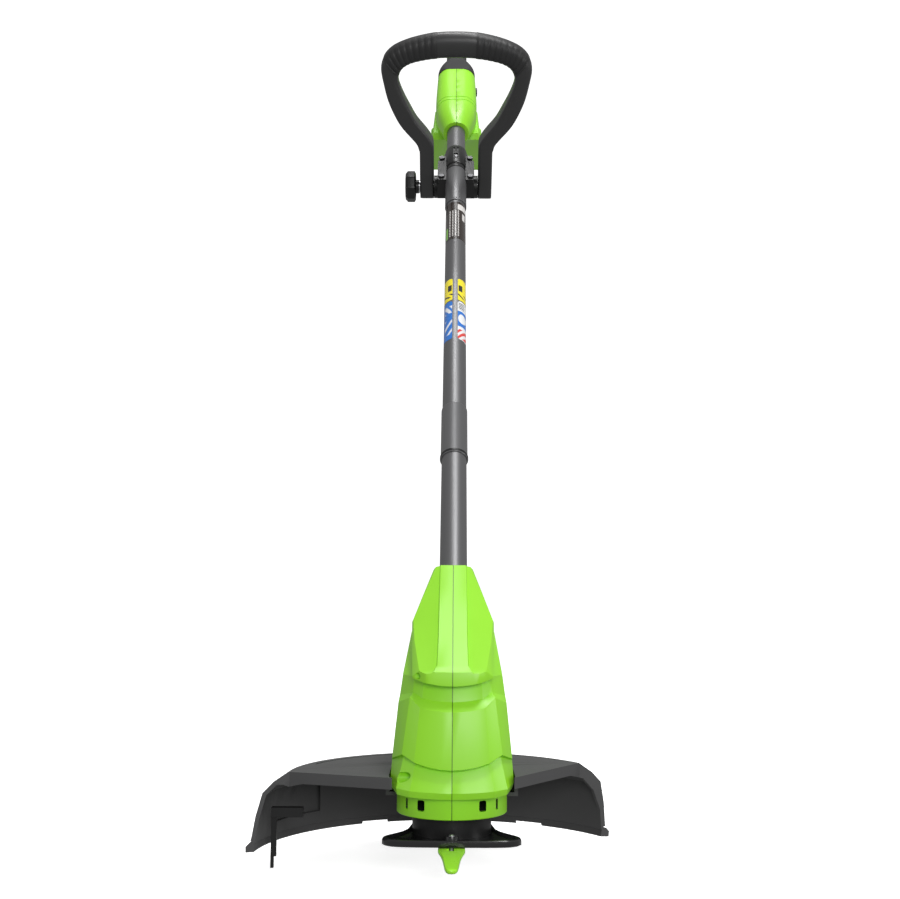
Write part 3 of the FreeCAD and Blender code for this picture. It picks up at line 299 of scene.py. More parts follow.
def prism(outline, low, high, place=Matrix(), soft=0.0, way="Z"):
    """An outline raised along X, Y or Z of a place, in millimetres, with its edges rounded if soft."""
    order = {"X": (2, 0, 1), "Y": (0, 2, 1), "Z": (0, 1, 2)}[way]
    loops = [[[(*point, level)[part] for part in order] for point in outline] for level in (low, high)]
    solid = body_of(mesh_of(loops), place)
    if soft:
        edge = solid.modifiers.new("edge", "BEVEL")
        edge.width = soft * 0.001
        edge.segments = 4
        edge.limit_method = "ANGLE"
        edge.angle_limit = math.radians(30)
        settled(solid)
    return solid


def oblong(half, front, back):
    return [(half, front), (half, back), (-half, back), (-half, front)]


def rounded(half, front, back, corner, bend_step=10):
    """The outline of an oblong with rounded corners."""
    outline = []
    for x, y, start in ((1, 1, 0), (-1, 1, 90), (-1, -1, 180), (1, -1, 270)):
        for bend in range(0, 91, bend_step):
            sweep = math.radians(start + bend)
            across_middle = x * (half - corner)
            along_middle = back - corner if y > 0 else front + corner
            outline.append((across_middle + corner * math.cos(sweep), along_middle + corner * math.sin(sweep)))
    return outline


def at(x, y, z, turn=0, axis="X"):
    """A place in millimetres, with a turn in degrees."""
    return Matrix.Translation(Vector((x, y, z)) * 0.001) @ Matrix.Rotation(math.radians(turn), 4, axis)


# The green carries painted shade along the seam at x = 0 where the housing halves meet.
green = moulded("green_nylon", (0.305, 0.76, 0.022), 0.36, grain=0.5, depth=0.12, tone=0.03, shade_seam=True)
shaft_lean, shaft_foot, tube_radius = 48, 100, 12.5
shaft = at(0, 0, shaft_foot, shaft_lean - 90)
across = Matrix.Rotation(math.radians(90), 4, "Y")
skirt_radius, skirt_low, skirt_high, skirt_wall = 44.7, 18.7, 36.5, 3.4
window_level, neck_end, neck_radius = 28.6, 143, 17.7


def barrel_loop(level, front, panel, facet, half, back, panel_rise, facet_rise, side_rise, thin=0.0):
    """One turn round the barrel: a bowed front panel, a facet each side of it, flat sides and a round back."""
    right = [(panel * share, front + 3.5 * share ** 2, level + panel_rise * share ** 2)
             for share in (0, 0.3, 0.6, 0.8, 1)]
    right.append((facet, front + 11, level + facet_rise))
    right.append((half - 0.6, front + 31, level + side_rise))
    right.append((half, front + 47, level + 0.4 * side_rise))
    right.append((half, back - 26, level))
    right.append((half - 6.5, back - 8.5, level))
    right.append((half - 23, back, level))
    right = [(x * (1 - thin / 48), y + thin * (1 if y < 0 else -1), z) for x, y, z in right]
    return right + [(0, right[-1][1], level)] + [(-x, y, z) for x, y, z in reversed(right[1:])]


barrel_steps = [
    (35.0, -48.3, 33.5, 43.0, 48.6, 49.6, 1.3, 2.2, 4.5),
    (40.0, -50.0, 33.0, 43.6, 50.0, 51.0, 1.3, 2.2, 4.0),
    (55.8, -43.4, 28.8, 38.2, 48.9, 52.4, 5.4, 10.7, 5.0),
    (57.4, -48.4, 29.6, 39.6, 48.8, 52.6, 5.4, 10.7, 5.2),
    (101.4, -45.2, 25.6, 33.8, 44.3, 62.0, 3.2, 10.6, 5.0),
    (108.8, -39.2, 23.8, 31.6, 43.4, 65.0, 2.4, 6.6, 3.0),
    (128.0, -38.2, 23.0, 30.4, 41.0, 73.0, 0.0, 0.0, 0.0),
    (160.0, 14.0, 20.0, 26.0, 36.0, 88.0, 0.0, 0.0, 0.0),
]
hood_steps = [
    # station, rib, its rise, edge of the top, how far it falls, half, bevel drop, how far below
    (-22, 22.5, 0.2, 23.0, 0.5, 31.0, 11.0, 10.0),
    (-9, 17.0, 0.5, 25.0, 1.5, 31.8, 10.4, 14.0),
    (2, 12.9, 2.4, 27.0, 3.4, 32.3, 10.0, 17.0),
    (40, 12.3, 2.8, 31.6, 6.0, 33.9, 10.0, 24.0),
    (70, 12.3, 2.8, 33.6, 7.5, 34.6, 10.5, 30.0),
    (108, 12.3, 2.4, 24.6, 5.0, 26.0, 8.5, 24.0),
    (143, 12.1, 1.2, 15.5, 2.2, 17.7, 6.0, 17.7),
]
hood_loops = []
for station, rib, rise, edge, fall, half, drop, below in hood_steps:
    crown = neck_radius + 0.254 * (neck_end - station)
    right = [(0, -crown), (rib - 0.7, -crown), (rib, -crown + rise), (edge, -crown + fall),
             (half, -crown + drop), (half, below)]
    ring = right + [(-x, y) for x, y in reversed(right[1:])]
    hood_loops.append([(x, y, station) for x, y in ring])
lip_loops = []
lip_flat = 22
for x in np.linspace(-60, 60, 41):
    reach = -45.8 + 0.9 * (x / lip_flat) ** 2 if abs(x) < lip_flat else -44.9 + 1.1 * (abs(x) - lip_flat)
    under = 121.5 + 5.2 * (min(abs(x), 40) / 31) ** 2
    lip_loops.append([(x, reach, under), (x, reach, 420), (x, 240, 420), (x, 240, under)])
skirt_turns = [math.radians(3 * step) for step in range(120)]
skirt_inside = skirt_radius - skirt_wall
skirt_loops = [[(reach * math.sin(turn), -reach * math.cos(turn), level) for turn in skirt_turns]
               for reach, level in ((skirt_inside, skirt_low), (skirt_radius - 0.5, skirt_low),
                                    (skirt_radius, skirt_low + 0.5), (skirt_radius, skirt_high),
                                    (skirt_inside, skirt_high))]
housing = body_of(mesh_of([barrel_loop(*step) for step in barrel_steps]))
cavity_steps = [(38.6, *barrel_steps[2][1:]), (56, *barrel_steps[2][1:]), (96, *barrel_steps[5][1:]),
                barrel_steps[6]]
cut(housing, body_of(mesh_of([barrel_loop(*step, thin=3.0) for step in cavity_steps])))
hood = cut(body_of(mesh_of(hood_loops), shaft), body_of(mesh_of(lip_loops)), how="INTERSECT")
cut(hood, round_bar(12.6, 98, 160, shaft))
cut(housing, hood, body_of(mesh_of(skirt_loops, closed=True)), how="UNION")
for side in (-1, 1):
    for middle, wide, high, corner, deep in ((24.2, 5.6, 8.6, 1.4, -28), (35.6, 1.6, 8.4, 0.5, -18)):
        outline = rounded(wide / 2, window_level - high / 2, window_level + high / 2, corner, bend_step=30)
        cut(housing, prism([(side * middle + x, z) for x, z in outline], -49, deep, way="Y"))
recesses = [(-60, -31.5, -38, 50.5, 4.1), (-50, -24.5, -38.5, 129.0, 2.6), (-60, -30, 46, 72, 4.0),
            (-50, -18, 75, 148, 4.0)]
for outer, seat, y, z, reach in recesses:
    cut(housing, round_bar(reach, outer, seat, at(0, y, z) @ across))
for side in (-1, 1):
    aside = Matrix.Rotation(math.radians(90 * side), 4, "Y")
    cut(housing, round_bar(1.0, 35.5, 60, at(0, -9, 134) @ aside, sides=12))
for side, way in (("left", -1), ("right", 1)):
    half = body_of(housing.data.copy())
    cut(half, prism([(0, -200), (way * 200, -200), (way * 200, 300), (0, 300)], 0, 400), how="INTERSECT")
    done("motor_housing_shell_" + side, half, green, "frame", edge=0.4, crisp=12,
         stands_for=("motor_housing_" + side,))
bpy.data.objects.remove(housing)


# Motor and its fixings inside the housing: steel can and shaft, ball bearings, iron rotor and ferrite magnets,
# with zinc-plated screws.
def metal(name, shade, roughness, brushed=0.05, stretch=(1, 1, 30)):
    """Bare or plated metal with fine marks drawn out along one way."""
    material, shader, place = finish(name, roughness, metallic=1.0)
    drawn = place.node("Mapping", {}, {"Vector": place, "Scale": stretch})
    marks = place.node("TexNoise", {}, {"Vector": drawn, "Scale": 320, "Detail": 4})
    feed(shader, Base_Color=marks.paint([channel * 0.82 for channel in shade], shade),
         Roughness=marks * 0.18 + (roughness - 0.09),
         Normal=place.node("Bump", {}, {"Height": marks, "Strength": brushed, "Distance": 0.0001}))
    return material


def dressed(material, *names):
    """Gives CAD nodes a finish."""
    for name in names:
        node = nodes[name]
        node.data.materials.clear()
        node.data.materials.append(material)


zinc = metal("zinc_plate", (0.62, 0.62, 0.64), 0.3)
dressed(zinc, "motor_housing_screws", "motor_mount_screws", "guard_screws", "rear_housing_screws")
dressed(zinc, "motor_shaft", "disc_screw", "motor_can", "lower_bearing", "upper_bearing", "motor_mount",
        "trigger_pin")
iron = metal("laminated_iron", (0.3, 0.3, 0.32), 0.55, stretch=(1, 1, 0.02))
dressed(iron, "rotor", "motor_magnets")
black = moulded("black_nylon", (0.012, 0.012, 0.0122), 0.36, grain=0.7, depth=0.2, tone=0.1, shine=0.35)
dressed(black, "motor_cap")


# Cutting head: the hub turns with the motor's shaft and carries a black eared disc with a raised rim. The
# plastic blade hangs on the disc's pin by its keyhole and swings out when the head spins.
dressed(black, "spindle_hub")
disc_black = moulded("disc_nylon", (0.01, 0.01, 0.0105), 0.22, grain=1.2, depth=0.1, tone=0.1, coat=0.3)
ears = [(0, -50), (14, -50), (28, -49.8), (40, -49), (47, -47.4), (52, -44), (54.4, -39), (54.2, -33.5),
        (51.5, -28), (46, -21), (40, -12), (36, -2), (34.5, 10), (33, 22), (26, 34), (14, 41), (0, 43)]
ears = ears + [(-x, y) for x, y in reversed(ears[1:-1])]
disc_rows = [(0.97, -1), (1, -0.2), (1, 3.4), (0.985, 4.4), (0.96, 4.6), (0.935, 3.8), (0.905, 2.0)]
disc_loops = [[(x * size, y * size, level) for x, y in ears] for size, level in disc_rows]
disc = body_of(mesh_of(disc_loops))
pin_radius = 2.5
pin_place = at(0, -44.5, 0)
cut(disc, round_bar(5.4, -0.9, 7.3, pin_place), how="UNION")
cut(disc, round_bar(pin_radius + 0.06, -5, 12, pin_place), round_bar(4.05, -5, 12))
done("disc_plate", disc, disc_black, "spindle", edge=0.4, crisp=35,
     stands_for=("cutting_disc",))
dressed(zinc, "blade_pin")
blade_green = moulded("blade_nylon", (0.33, 0.78, 0.03), 0.3, grain=0.9, depth=0.05, tone=0.03)
blade_side = [(5, -35.1), (9, -36.4), (10.4, -39.5), (10.5, -53), (9.9, -59), (8.4, -68), (7.1, -79),
              (6.3, -90), (5.5, -104), (4.9, -113), (4.3, -118), (2.7, -121.9), (0, -123.1)]
blade_plan = blade_side + [(-x, y) for x, y in reversed(blade_side[:-1])]
blade_middle = -70
blade_rows = [(0.9, -4.3), (1, -3.5), (1, -2.1), (0.9, -1.3)]
blade = body_of(mesh_of([[(x * trim, blade_middle + (y - blade_middle) * (0.8 + 0.2 * trim), level)
                          for x, y in blade_plan] for trim, level in blade_rows]))
cut(blade, round_bar(pin_radius + 0.12, -6, 0, pin_place), round_bar(4.45, -6, 0, at(0, -54, 0)),
    prism(oblong(2, -54, -44.5), -6, 0))
done("blade_strip", blade, blade_green, "blade", crisp=35, stands_for=("blade",))


# Guard: one black moulding over the back of the cut. A bowl with a folded rim along its open edge, a cup that
# takes the housing's flare, a lip round the foot, and slots and a groove moulded into its top.
guard_grey = moulded("guard_nylon", (0.068, 0.068, 0.069), 0.46, grain=0.9, depth=0.3, tone=0.08, shine=0.4)
guard_turns = [math.radians(2.5 * step) for step in range(144)]
guard_low, guard_top, guard_wall = -12, 50, 3
guard_aside, guard_centre, guard_lean = -3, -13, 17


def lathe(profile, closed=False):
    """Turns a profile of reach and level about the guard's centre, which moves back towards its top."""
    loops = []
    for reach, level in profile:
        centre = guard_centre - guard_lean * (guard_top - level) / (guard_top - guard_low)
        loops.append([(guard_aside + reach * math.cos(turn), centre + reach * math.sin(turn), level)
                      for turn in guard_turns])
    return body_of(mesh_of(loops, closed))


guard_profile = [(161.5, guard_low), (161.5, -7.5), (158, -4), (157, 0), (154, 16), (149, 34), (141, 42),
                 (129, guard_top)]
guard_plan = [(-185, -22), (-131, -10), (-49, -38), (47, -36), (109, 52), (190, 64), (190, 240), (-185, 240)]
guard_inside = [(reach - guard_wall, level - (1 if level == guard_low else guard_wall * 0.7))
                for reach, level in guard_profile]
guard_shell = lathe(guard_profile)
cut(guard_shell, lathe(guard_inside))
cut(guard_shell, prism(guard_plan, -30, 70), how="INTERSECT")
lip = lathe([(159.5, -11.9), (159.5, -6.4), (155.2, -6.4), (155.2, -11.9)], closed=True)
cut(lip, prism(guard_plan, -30, 70), how="INTERSECT")

# The folded rim: the bowl thickened inwards for 3 mm behind its open edge, but not at the low left corner.
rim = lathe(guard_profile)
cut(rim, lathe([(158.5, -20), (158, -4), (151, 12), (144, 27), (134, 37), (117, 41)]),
    prism([(-200, -30), (-126, -30), (-126, 36), (-136, 40), (-200, 40)], -60, 60, way="Y"))
behind_rim = [(-185, -18.9), (-130.5, -6.8), (-49.5, -34.8), (45.5, -32.8), (107.5, 55), (190, 67.1),
              (190, 240), (-185, 240)]
edge_strip = cut(prism(guard_plan, -30, 70), prism(behind_rim, -40, 80))
cut(rim, edge_strip, how="INTERSECT")
cut(guard_shell, lip, rim, how="UNION")


def pocket(spare, low, high):
    """The housing's flare in plan, with some room round it."""
    return prism(rounded(50 + spare, -50 - spare, 50 + spare, 24 + spare), low, high)


cut(guard_shell, pocket(3.2, -40, 31.8))
cup = cut(pocket(3.3, 31.7, guard_top), prism(oblong(90, -8, 90), 0, 80), how="INTERSECT")
cut(guard_shell, cup, how="UNION")
cut(guard_shell, pocket(0.3, 34.7, 90), round_bar(45, -40, 90, sides=96))
for side in (-1, 1):
    tab_slot = [(side * 58, 60), (side * 80, 60), (side * 80, 240), (side * 58, 240)]
    cut(guard_shell, prism(tab_slot, -30, -10))
cut(guard_shell, lathe([(170, -3.4), (170, -4.6), (156.4, -4.6), (156.4, -3.4)], closed=True))
top_slots = [(112, 157, 120.5, 122.4, 48.4), (64, 52, 125, 127, 40), (51, 42, 125, 127, 40)]
for first, last, near, far, low in top_slots:
    slot_rows = []
    for turn in np.radians(np.linspace(first, last, 16)):
        slot_rows.append([(guard_aside + reach * math.cos(turn), guard_centre + reach * math.sin(turn), level)
                          for reach, level in ((near, low), (far, low), (far, 60), (near, 60))])
    cut(guard_shell, body_of(mesh_of(slot_rows)))
panel = lathe([(154.6, 4), (152.4, 16), (148.4, 31), (140, 31), (140, 4)], closed=True)
panel_outline = [(-149, 4), (-149, 12), (-134, 30), (-115, 30), (-115, 4)]
cut(panel, prism(panel_outline, -5, 130, way="Y"), how="INTERSECT")
cut(guard_shell, panel)
done("guard_shell", guard_shell, guard_grey, "frame", edge=0.5, crisp=28,
     stands_for=("guard",))
dressed(black, "guide_arm")


# Shaft: two steel tubes in satin grey powder coat, coupled by a sleeve with a dark ring and a spring button
# behind. The power lead runs inside them.
tube_grey, shader, place = finish("grey_powder_coat", 0.4, metallic=0.6)
flecks = place.node("TexNoise", {}, {"Vector": place, "Scale": 2600, "Detail": 2})
orange_peel = place.node("TexNoise", {}, {"Vector": place, "Scale": 420, "Detail": 2})
feed(shader, Base_Color=flecks.paint((0.12, 0.12, 0.123), (0.19, 0.19, 0.195)), Roughness=flecks * 0.1 + 0.36,
     Normal=place.node("Bump", {}, {"Height": orange_peel, "Strength": 0.12, "Distance": 0.0001}))
dressed(tube_grey, "lower_tube", "upper_tube")
dressed(zinc, "snap_button")
rubber = moulded("black_rubber", (0.012, 0.012, 0.012), 0.6, grain=1.2, depth=0.3, tone=0.15)
dressed(rubber, "power_lead")


def turned(profile, place, sides=72, closed=True):
    """A profile of radius and level turned about Z of a place: a ring if closed, or else a solid."""
    loops = []
    for radius, level in profile:
        turns = [2 * math.pi * side / sides for side in range(sides)]
        loops.append([(radius * math.cos(turn), radius * math.sin(turn), level) for turn in turns])
    return body_of(mesh_of(loops, closed), place)


on_tube = tube_radius + 0.05
coupler = turned([(on_tube, 301), (13.3, 301), (13.9, 302), (13.9, 305), (13.5, 306), (13.5, 376),
                  (12.9, 377.5), (on_tube, 377.5)], shaft)
done("coupler_shell", coupler, tube_grey, "frame", edge=0.2, stands_for=("coupler_sleeve",))
ring = turned([(13.92, 301.9), (14.2, 302.2), (14.2, 304.6), (13.92, 304.9)], shaft)
done("coupler_ring", ring, black, "frame")


# Stickers: glossy vinyl wrapped round the front of the tube, with plain shapes only. Yellow ones each side on
# top, a blue one down the left and one in bands down the right, and a dark rating plate below the bracket.
def vinyl(name):
    """Sticker film: its parts, and the ways across and up the tube in millimetres."""
    material, shader, place = finish(name, 0.28, coat=0.3)
    sheen = place.node("TexNoise", {}, {"Vector": place, "Scale": 180, "Detail": 2})
    feed(shader, Roughness=sheen * 0.14 + 0.2)
    along_tube = place.node("Mapping", {"vector_type": "TEXTURE"}, {
        "Vector": place, "Location": (0, 0, 0.1), "Rotation": (math.radians(shaft_lean - 90), 0, 0)})
    over, up = (place.node("SeparateXYZ", {}, {0: along_tube}, out=way) * 1000 for way in (0, 2))
    return material, shader, over, up


def stripes(along, pitch, share):
    """1 on evenly spaced stripes and 0 between them."""
    return 1 - along.sum("PINGPONG", along, pitch / 2).past(share * pitch / 2, 0.08 * pitch)


def wrapped(name, material, low, high, first, last):
    """A thin sticker round the tube with rounded corners; 0 degrees faces the front."""
    rows = []
    for level in np.linspace(low, high, 33):
        inset = max(0, 1 - min(level - low, high - level) / 2)
        trim = math.degrees(2 * (1 - math.sqrt(1 - inset ** 2)) / (tube_radius + 0.1))
        turns = np.radians(np.linspace(first + trim, last - trim, 25))
        rows.append([(radius * math.sin(turn), -radius * math.cos(turn), level)
                     for radius, run in ((tube_radius + 0.16, turns), (tube_radius + 0.03, turns[::-1]))
                     for turn in run])
    done(name, body_of(mesh_of(rows), shaft), material, "frame", crisp=40)


ink, white = (0.02, 0.02, 0.02), (0.82, 0.83, 0.84)
sign_yellow, sign_blue, sign_red = (0.92, 0.78, 0.02), (0.02, 0.17, 0.6), (0.72, 0.05, 0.04)
yellow_film, shader, over, up = vinyl("warning_yellow")
squiggle = stripes(over + up, 8, 0.4) * up.between(566, 574, 0.3)
square = up.between(579, 591, 0.3) * (over * over).between(16, 70, 2)
feed(shader, Base_Color=(squiggle + square).paint(sign_yellow, ink))
wrapped("warning_left_top", yellow_film, 561, 604, -80, -14)
wrapped("warning_right_top", yellow_film, 561, 604, 14, 80)

blue_film, shader, over, up = vinyl("warning_blue")
upper_shapes = up.between(536, 550, 0.4) * stripes(up + over * 2.2, 15, 0.55)
lower_shapes = up.between(496, 524, 0.4) * stripes(up - over * 1.8, 17, 0.3)
shapes = (upper_shapes + lower_shapes) * (over * -1).between(3.4, 11.2, 0.4)
feed(shader, Base_Color=shapes.paint(sign_blue, white))
wrapped("warning_left", blue_film, 487, 559, -80, -14)

band_film, shader, over, up = vinyl("warning_bands")
words = stripes(up, 3, 0.5) * up.between(543, 556, 0.3) * over.between(4, 10.5, 0.3)
from_middle = (over - 8) * (over - 8) * 1.6 + (up - 526) * (up - 526) * 0.4
bands = up.between(511, 540, 0.3).paint(words.paint(white, ink), sign_blue)
bands = from_middle.past(30, 3).paint(white, bands)
bands = (stripes(up - over * 1.6, 11, 0.5) * up.between(488, 506, 0.3)).paint(bands, sign_red)
feed(shader, Base_Color=bands)
wrapped("warning_right", band_film, 487, 559, 14, 80)

rating_film, shader, over, up = vinyl("rating_plate")
rating_low, rating_long = 690.5, 86
rise = up - rating_low
rows = stripes(over, 3.5, 0.42) * stripes(rise + 3 + over * 2.3, 6.3, 0.82)
rows = rows * rise.between(6, 66, 0.3) * over.between(-9, 5, 0.3)
patches = over.between(2.5, 12.4, 0.2) * rise.between(68, 81, 0.3)
patches = patches + over.between(8.3, 11.2, 0.2) * rise.between(46, 61, 0.3)
tab = over.between(-11.5, -9.4, 0.2) * rise.between(4, 28, 0.4)
plate = (rows * 0.8 + patches).paint((0.022, 0.014, 0.011), (0.7, 0.68, 0.66))
feed(shader, Base_Color=tab.paint(plate, (0.2, 0.55, 0.04)))
wrapped("rating_label", rating_film, rating_low, rating_low + rating_long, -84, 84)


# Clamp bracket: two black mouldings screwed round the upper tube by their ears, and toothed washers that hold
# the handle's angle. The front half has a collar with slots and a socket, a small screw, and a sleeve below.
def crisp_edges(width, *names):
    """Rounds the edges of CAD nodes that stay as they are."""
    for name in names:
        weld = nodes[name].modifiers.new("weld", "WELD")
        weld.merge_threshold = 0.00001
        bevel = nodes[name].modifiers.new("bevel", "BEVEL")
        bevel.width = width * 0.001
        bevel.segments = 2
        bevel.limit_method = "ANGLE"
        bevel.angle_limit = math.radians(40)


bracket_low, bracket_high, collar_high, screw_out = 843, 905, 922, 19.1
bracket = round_bar(13.4, 868, collar_high, shaft, sides=96)
collar = turned([(12, 876), (14.0, 876), (14.7, 877.5), (14.7, collar_high - 1.5), (14.0, collar_high),
                 (12, collar_high)], shaft)
cut(bracket, collar, how="UNION")
for side in (-1, 1):
    plate = [(12.7, bracket_low), (22.5, bracket_low), (24.3, bracket_low + 2), (24.3, 889), (19, 901),
             (14, bracket_high), (12.7, bracket_high)]
    cut(bracket, prism([(side * x, z) for x, z in plate], -6.5, 0, shaft, way="Y"), how="UNION")
    for level in (850, 898):
        cut(bracket, round_bar(4.3, 3.4, 20, shaft @ at(screw_out * side, 0, level, 90), sides=32))
    cut(bracket, prism(oblong(0.9, -20, -13), 906, 916, shaft @ at(2.6 * side, 0, 0)))
cut(bracket, prism(oblong(3.0, -20, -13.4), 888, 899, shaft),
    round_bar(tube_radius + 0.02, 700, 960, shaft, sides=96))
cut(bracket, prism(oblong(60, -60, -0.05), 700, 960, shaft), how="INTERSECT")
done("bracket_front_shell", bracket, black, "frame", edge=0.35, crisp=30,
     stands_for=("bracket_front",))
screw_profile = [(1.7, 12.6), (1.8, 14.6), (1.4, 15.2), (0.8, 15.2), (0.7, 14.7)]
little_screw = turned(screw_profile, shaft @ at(0, 0, 891, 90), sides=24, closed=False)
done("collar_screw", little_screw, zinc, "frame")
sleeve = turned([(tube_radius + 0.03, 782), (13.5, 782), (13.7, 782.6), (13.7, 784.2), (13.3, 784.5),
                 (13.3, 785.5), (13.7, 785.8), (13.7, 866), (13.2, 867), (tube_radius + 0.03, 867)], shaft)
done("bracket_sleeve", sleeve, tube_grey, "frame", edge=0.15)
dressed(black, "bracket_back", "toothed_washer_left", "toothed_washer_right")
black_zinc = metal("black_zinc", (0.12, 0.12, 0.125), 0.4)
dressed(black_zinc, "bracket_screws")
crisp_edges(0.8, "bracket_back")


# D handle: a swept bar in black nylon with strap-like legs that hold the bracket between them on the cross
# bolt. Its crossbar is round, with a ribbed soft pad each side of the middle.
hinge = shaft @ at(0, 22, 873)
leg_inner, leg_outer, leg_round, bar_half = 29.4, 48, 15.4, 13.5
handle_bends = [
    # inner point, outer point and how flat the sides are, from the middle of the crossbar down one leg
    (0, 184, 0, 216, 2.1), (15, 183.7, 15.4, 215.6, 2.1), (30, 182.6, 31, 213.8, 2.1),
    (45, 180.2, 49, 209.6, 2.2),
    (57, 177, 64, 204.6, 2.3), (65.5, 172.4, 77.6, 198, 2.4), (70.5, 166.6, 87, 190, 2.5),
    (72.8, 160, 92.4, 181, 2.6), (73, 152, 95.2, 169, 2.9), (70, 141, 92.6, 151, 3.5),
    (65, 128, 87.4, 128, 4.5),
    (59, 115, 78, 105, 6), (51, 99, 69, 90, 7), (37.4, 81, 52.6, 69.6, 7), (31, 70, 49, 60, 7),
    (leg_inner, 61, leg_outer, 55, 7),
] + [(leg_inner, level, leg_outer, level, 7) for level in (30, 8, 0, -7, -11, -14, -15.3)]


def smooth_between(rows, fine):
    """More rows between the given ones, on a smooth curve through them."""
    rows = [np.array(row, dtype=float) for row in rows]
    rows = [2 * rows[0] - rows[1]] + rows + [2 * rows[-1] - rows[-2]]
    made = []
    for before, first, second, after in zip(rows, rows[1:], rows[2:], rows[3:]):
        for share in np.linspace(0, 1, fine, endpoint=False):
            bend = (2 * before - 5 * first + 4 * second - after) * share ** 2
            twist = (3 * first - before - 3 * second + after) * share ** 3
            made.append(0.5 * (2 * first + (second - before) * share + bend + twist))
    return made + [rows[-2]]


def bar_loop(row, swell=0.0, rib=0.0):
    """The bar's section between an inner and an outer point: round at a flat of 2, and squarer above that."""
    inner, outer, flat = Vector((row[0], -row[1], 0)), Vector((row[2], -row[3], 0)), row[4]
    deep = bar_half
    if row[1] < 0:
        deep = min(bar_half, math.sqrt(max(0.6, leg_round ** 2 - row[1] ** 2)))
    middle, thick = (inner + outer) / 2, (outer - inner) / 2
    loop = []
    for step in range(40):
        turn = 2 * math.pi * step / 40
        across_bar = math.copysign(abs(math.cos(turn)) ** (2 / flat), math.cos(turn))
        along_tube = math.copysign(abs(math.sin(turn)) ** (2 / flat), math.sin(turn))
        proud = swell + rib * max(0, -along_tube) ** 2
        point = middle + thick * (1 + proud / thick.length) * across_bar
        loop.append((point.x, point.y, (deep + proud) * along_tube))
    return loop


mirror = np.array((-1, 1, -1, 1, 1))
right_half = [row for row in smooth_between(handle_bends, 4) if row[1] > -15.35]
left_half = [row * mirror for row in right_half]
handle = body_of(mesh_of([bar_loop(row) for row in left_half[:0:-1] + right_half]), hinge)
cut(handle, round_bar(3.08, -110, 110, hinge @ across, sides=32), round_bar(8.3, 44, 110, hinge @ across))
handle_black = moulded("handle_nylon", (0.036, 0.036, 0.0365), 0.4, grain=0.7, depth=0.2, tone=0.1, shine=0.4)
done("d_handle_shell", handle, handle_black, "handle", edge=0.3, crisp=50,
     stands_for=("d_handle",))
pad_black = moulded("soft_pads", (0.024, 0.024, 0.0245), 0.5, grain=1.6, depth=0.3, tone=0.12, shine=0.35)
rib_pitch = 8.2
for side, half in (("left", left_half), ("right", right_half)):
    way = mirror if side == "left" else abs(mirror)
    crossbar = [row for row in smooth_between(handle_bends[1:9], 20) if 24 <= (row[0] + row[2]) / 2 <= 82]
    pad_rows = []
    run = 0.0
    for before, row in zip([crossbar[0]] + crossbar, crossbar):
        run += math.hypot(row[2] - before[2], row[3] - before[3])
        rib = min(1, max(0, 1.8 * abs(math.sin(math.pi * run / rib_pitch)) - 0.5))
        pad_rows.append(bar_loop(row * way, 0.35, rib))
    pad = body_of(mesh_of(pad_rows), hinge)
    core = [bar_loop(row, 0.06) for row in half if abs(row[0]) < 90 and row[1] > 120]
    cut(pad, body_of(mesh_of(core), hinge))
    done("grip_pad_" + side, pad, pad_black, "handle", crisp=30,
         stands_for=("handle_grip_" + side,))
dressed(zinc, "cross_bolt", "knob_nut", "knob_washer")


# Knob: an eight-sided clamp knob in black nylon on the bolt's threaded end, dished outside, with a neck that
# bears on the washer.
knob_turned, half_flat = 19.5, 22.5
knob_profile = [
    # how far out, the radius, and whether it is eight-sided there
    (49.85, 9.0, False), (53.5, 9.0, False), (53.8, 17.5, True), (55.5, 20.6, True), (64.5, 20.6, True),
    (67.7, 17.0, True), (67.7, 11.5, False), (66.2, 10.4, False), (66.2, 3.0, False),
]
knob_loops = []
for out, radius, sided in knob_profile:
    loop = []
    for degrees in np.arange(0, 360, 7.5):
        off_corner = (degrees + half_flat) % 45 - half_flat
        reach = radius
        if sided:
            reach *= math.cos(math.radians(half_flat)) / math.cos(math.radians(half_flat - abs(off_corner)))
        turn = math.radians(degrees + knob_turned)
        loop.append((-out, reach * math.cos(turn), reach * math.sin(turn)))
    knob_loops.append(loop)
knob = body_of(mesh_of(knob_loops), hinge)
cut(knob, round_bar(6.05, -58, -40, hinge @ across), round_bar(3.3, -62, -40, hinge @ across))
done("knob_shell", knob, black, "knob", edge=0.4, crisp=28, stands_for=("knob",))


# Rear housing: two green halves screwed together down the middle. A smooth nose swells from the tube, the body
# widens behind it with vent slots each side, a loop closes round the fingers and a tilted base takes the
# battery. The grip wears a black soft skin.
bay = shaft @ at(0, 115, 1085, -29.3)
wall, skin_thick = 2.6, 3.0
base_long, base_half, base_high = 148, 38, 62


def oval(half, front, back, corner, level, inset=0.0):
    """One section of the nose or grip: an oblong with rounded corners."""
    half, front, back, corner = half - inset, front + inset, back - inset, max(0.5, corner - inset)
    corner = min(corner, half - 0.01, (back - front) / 2 - 0.01)
    return [(x, y, level) for x, y in rounded(half, front, back, corner)]


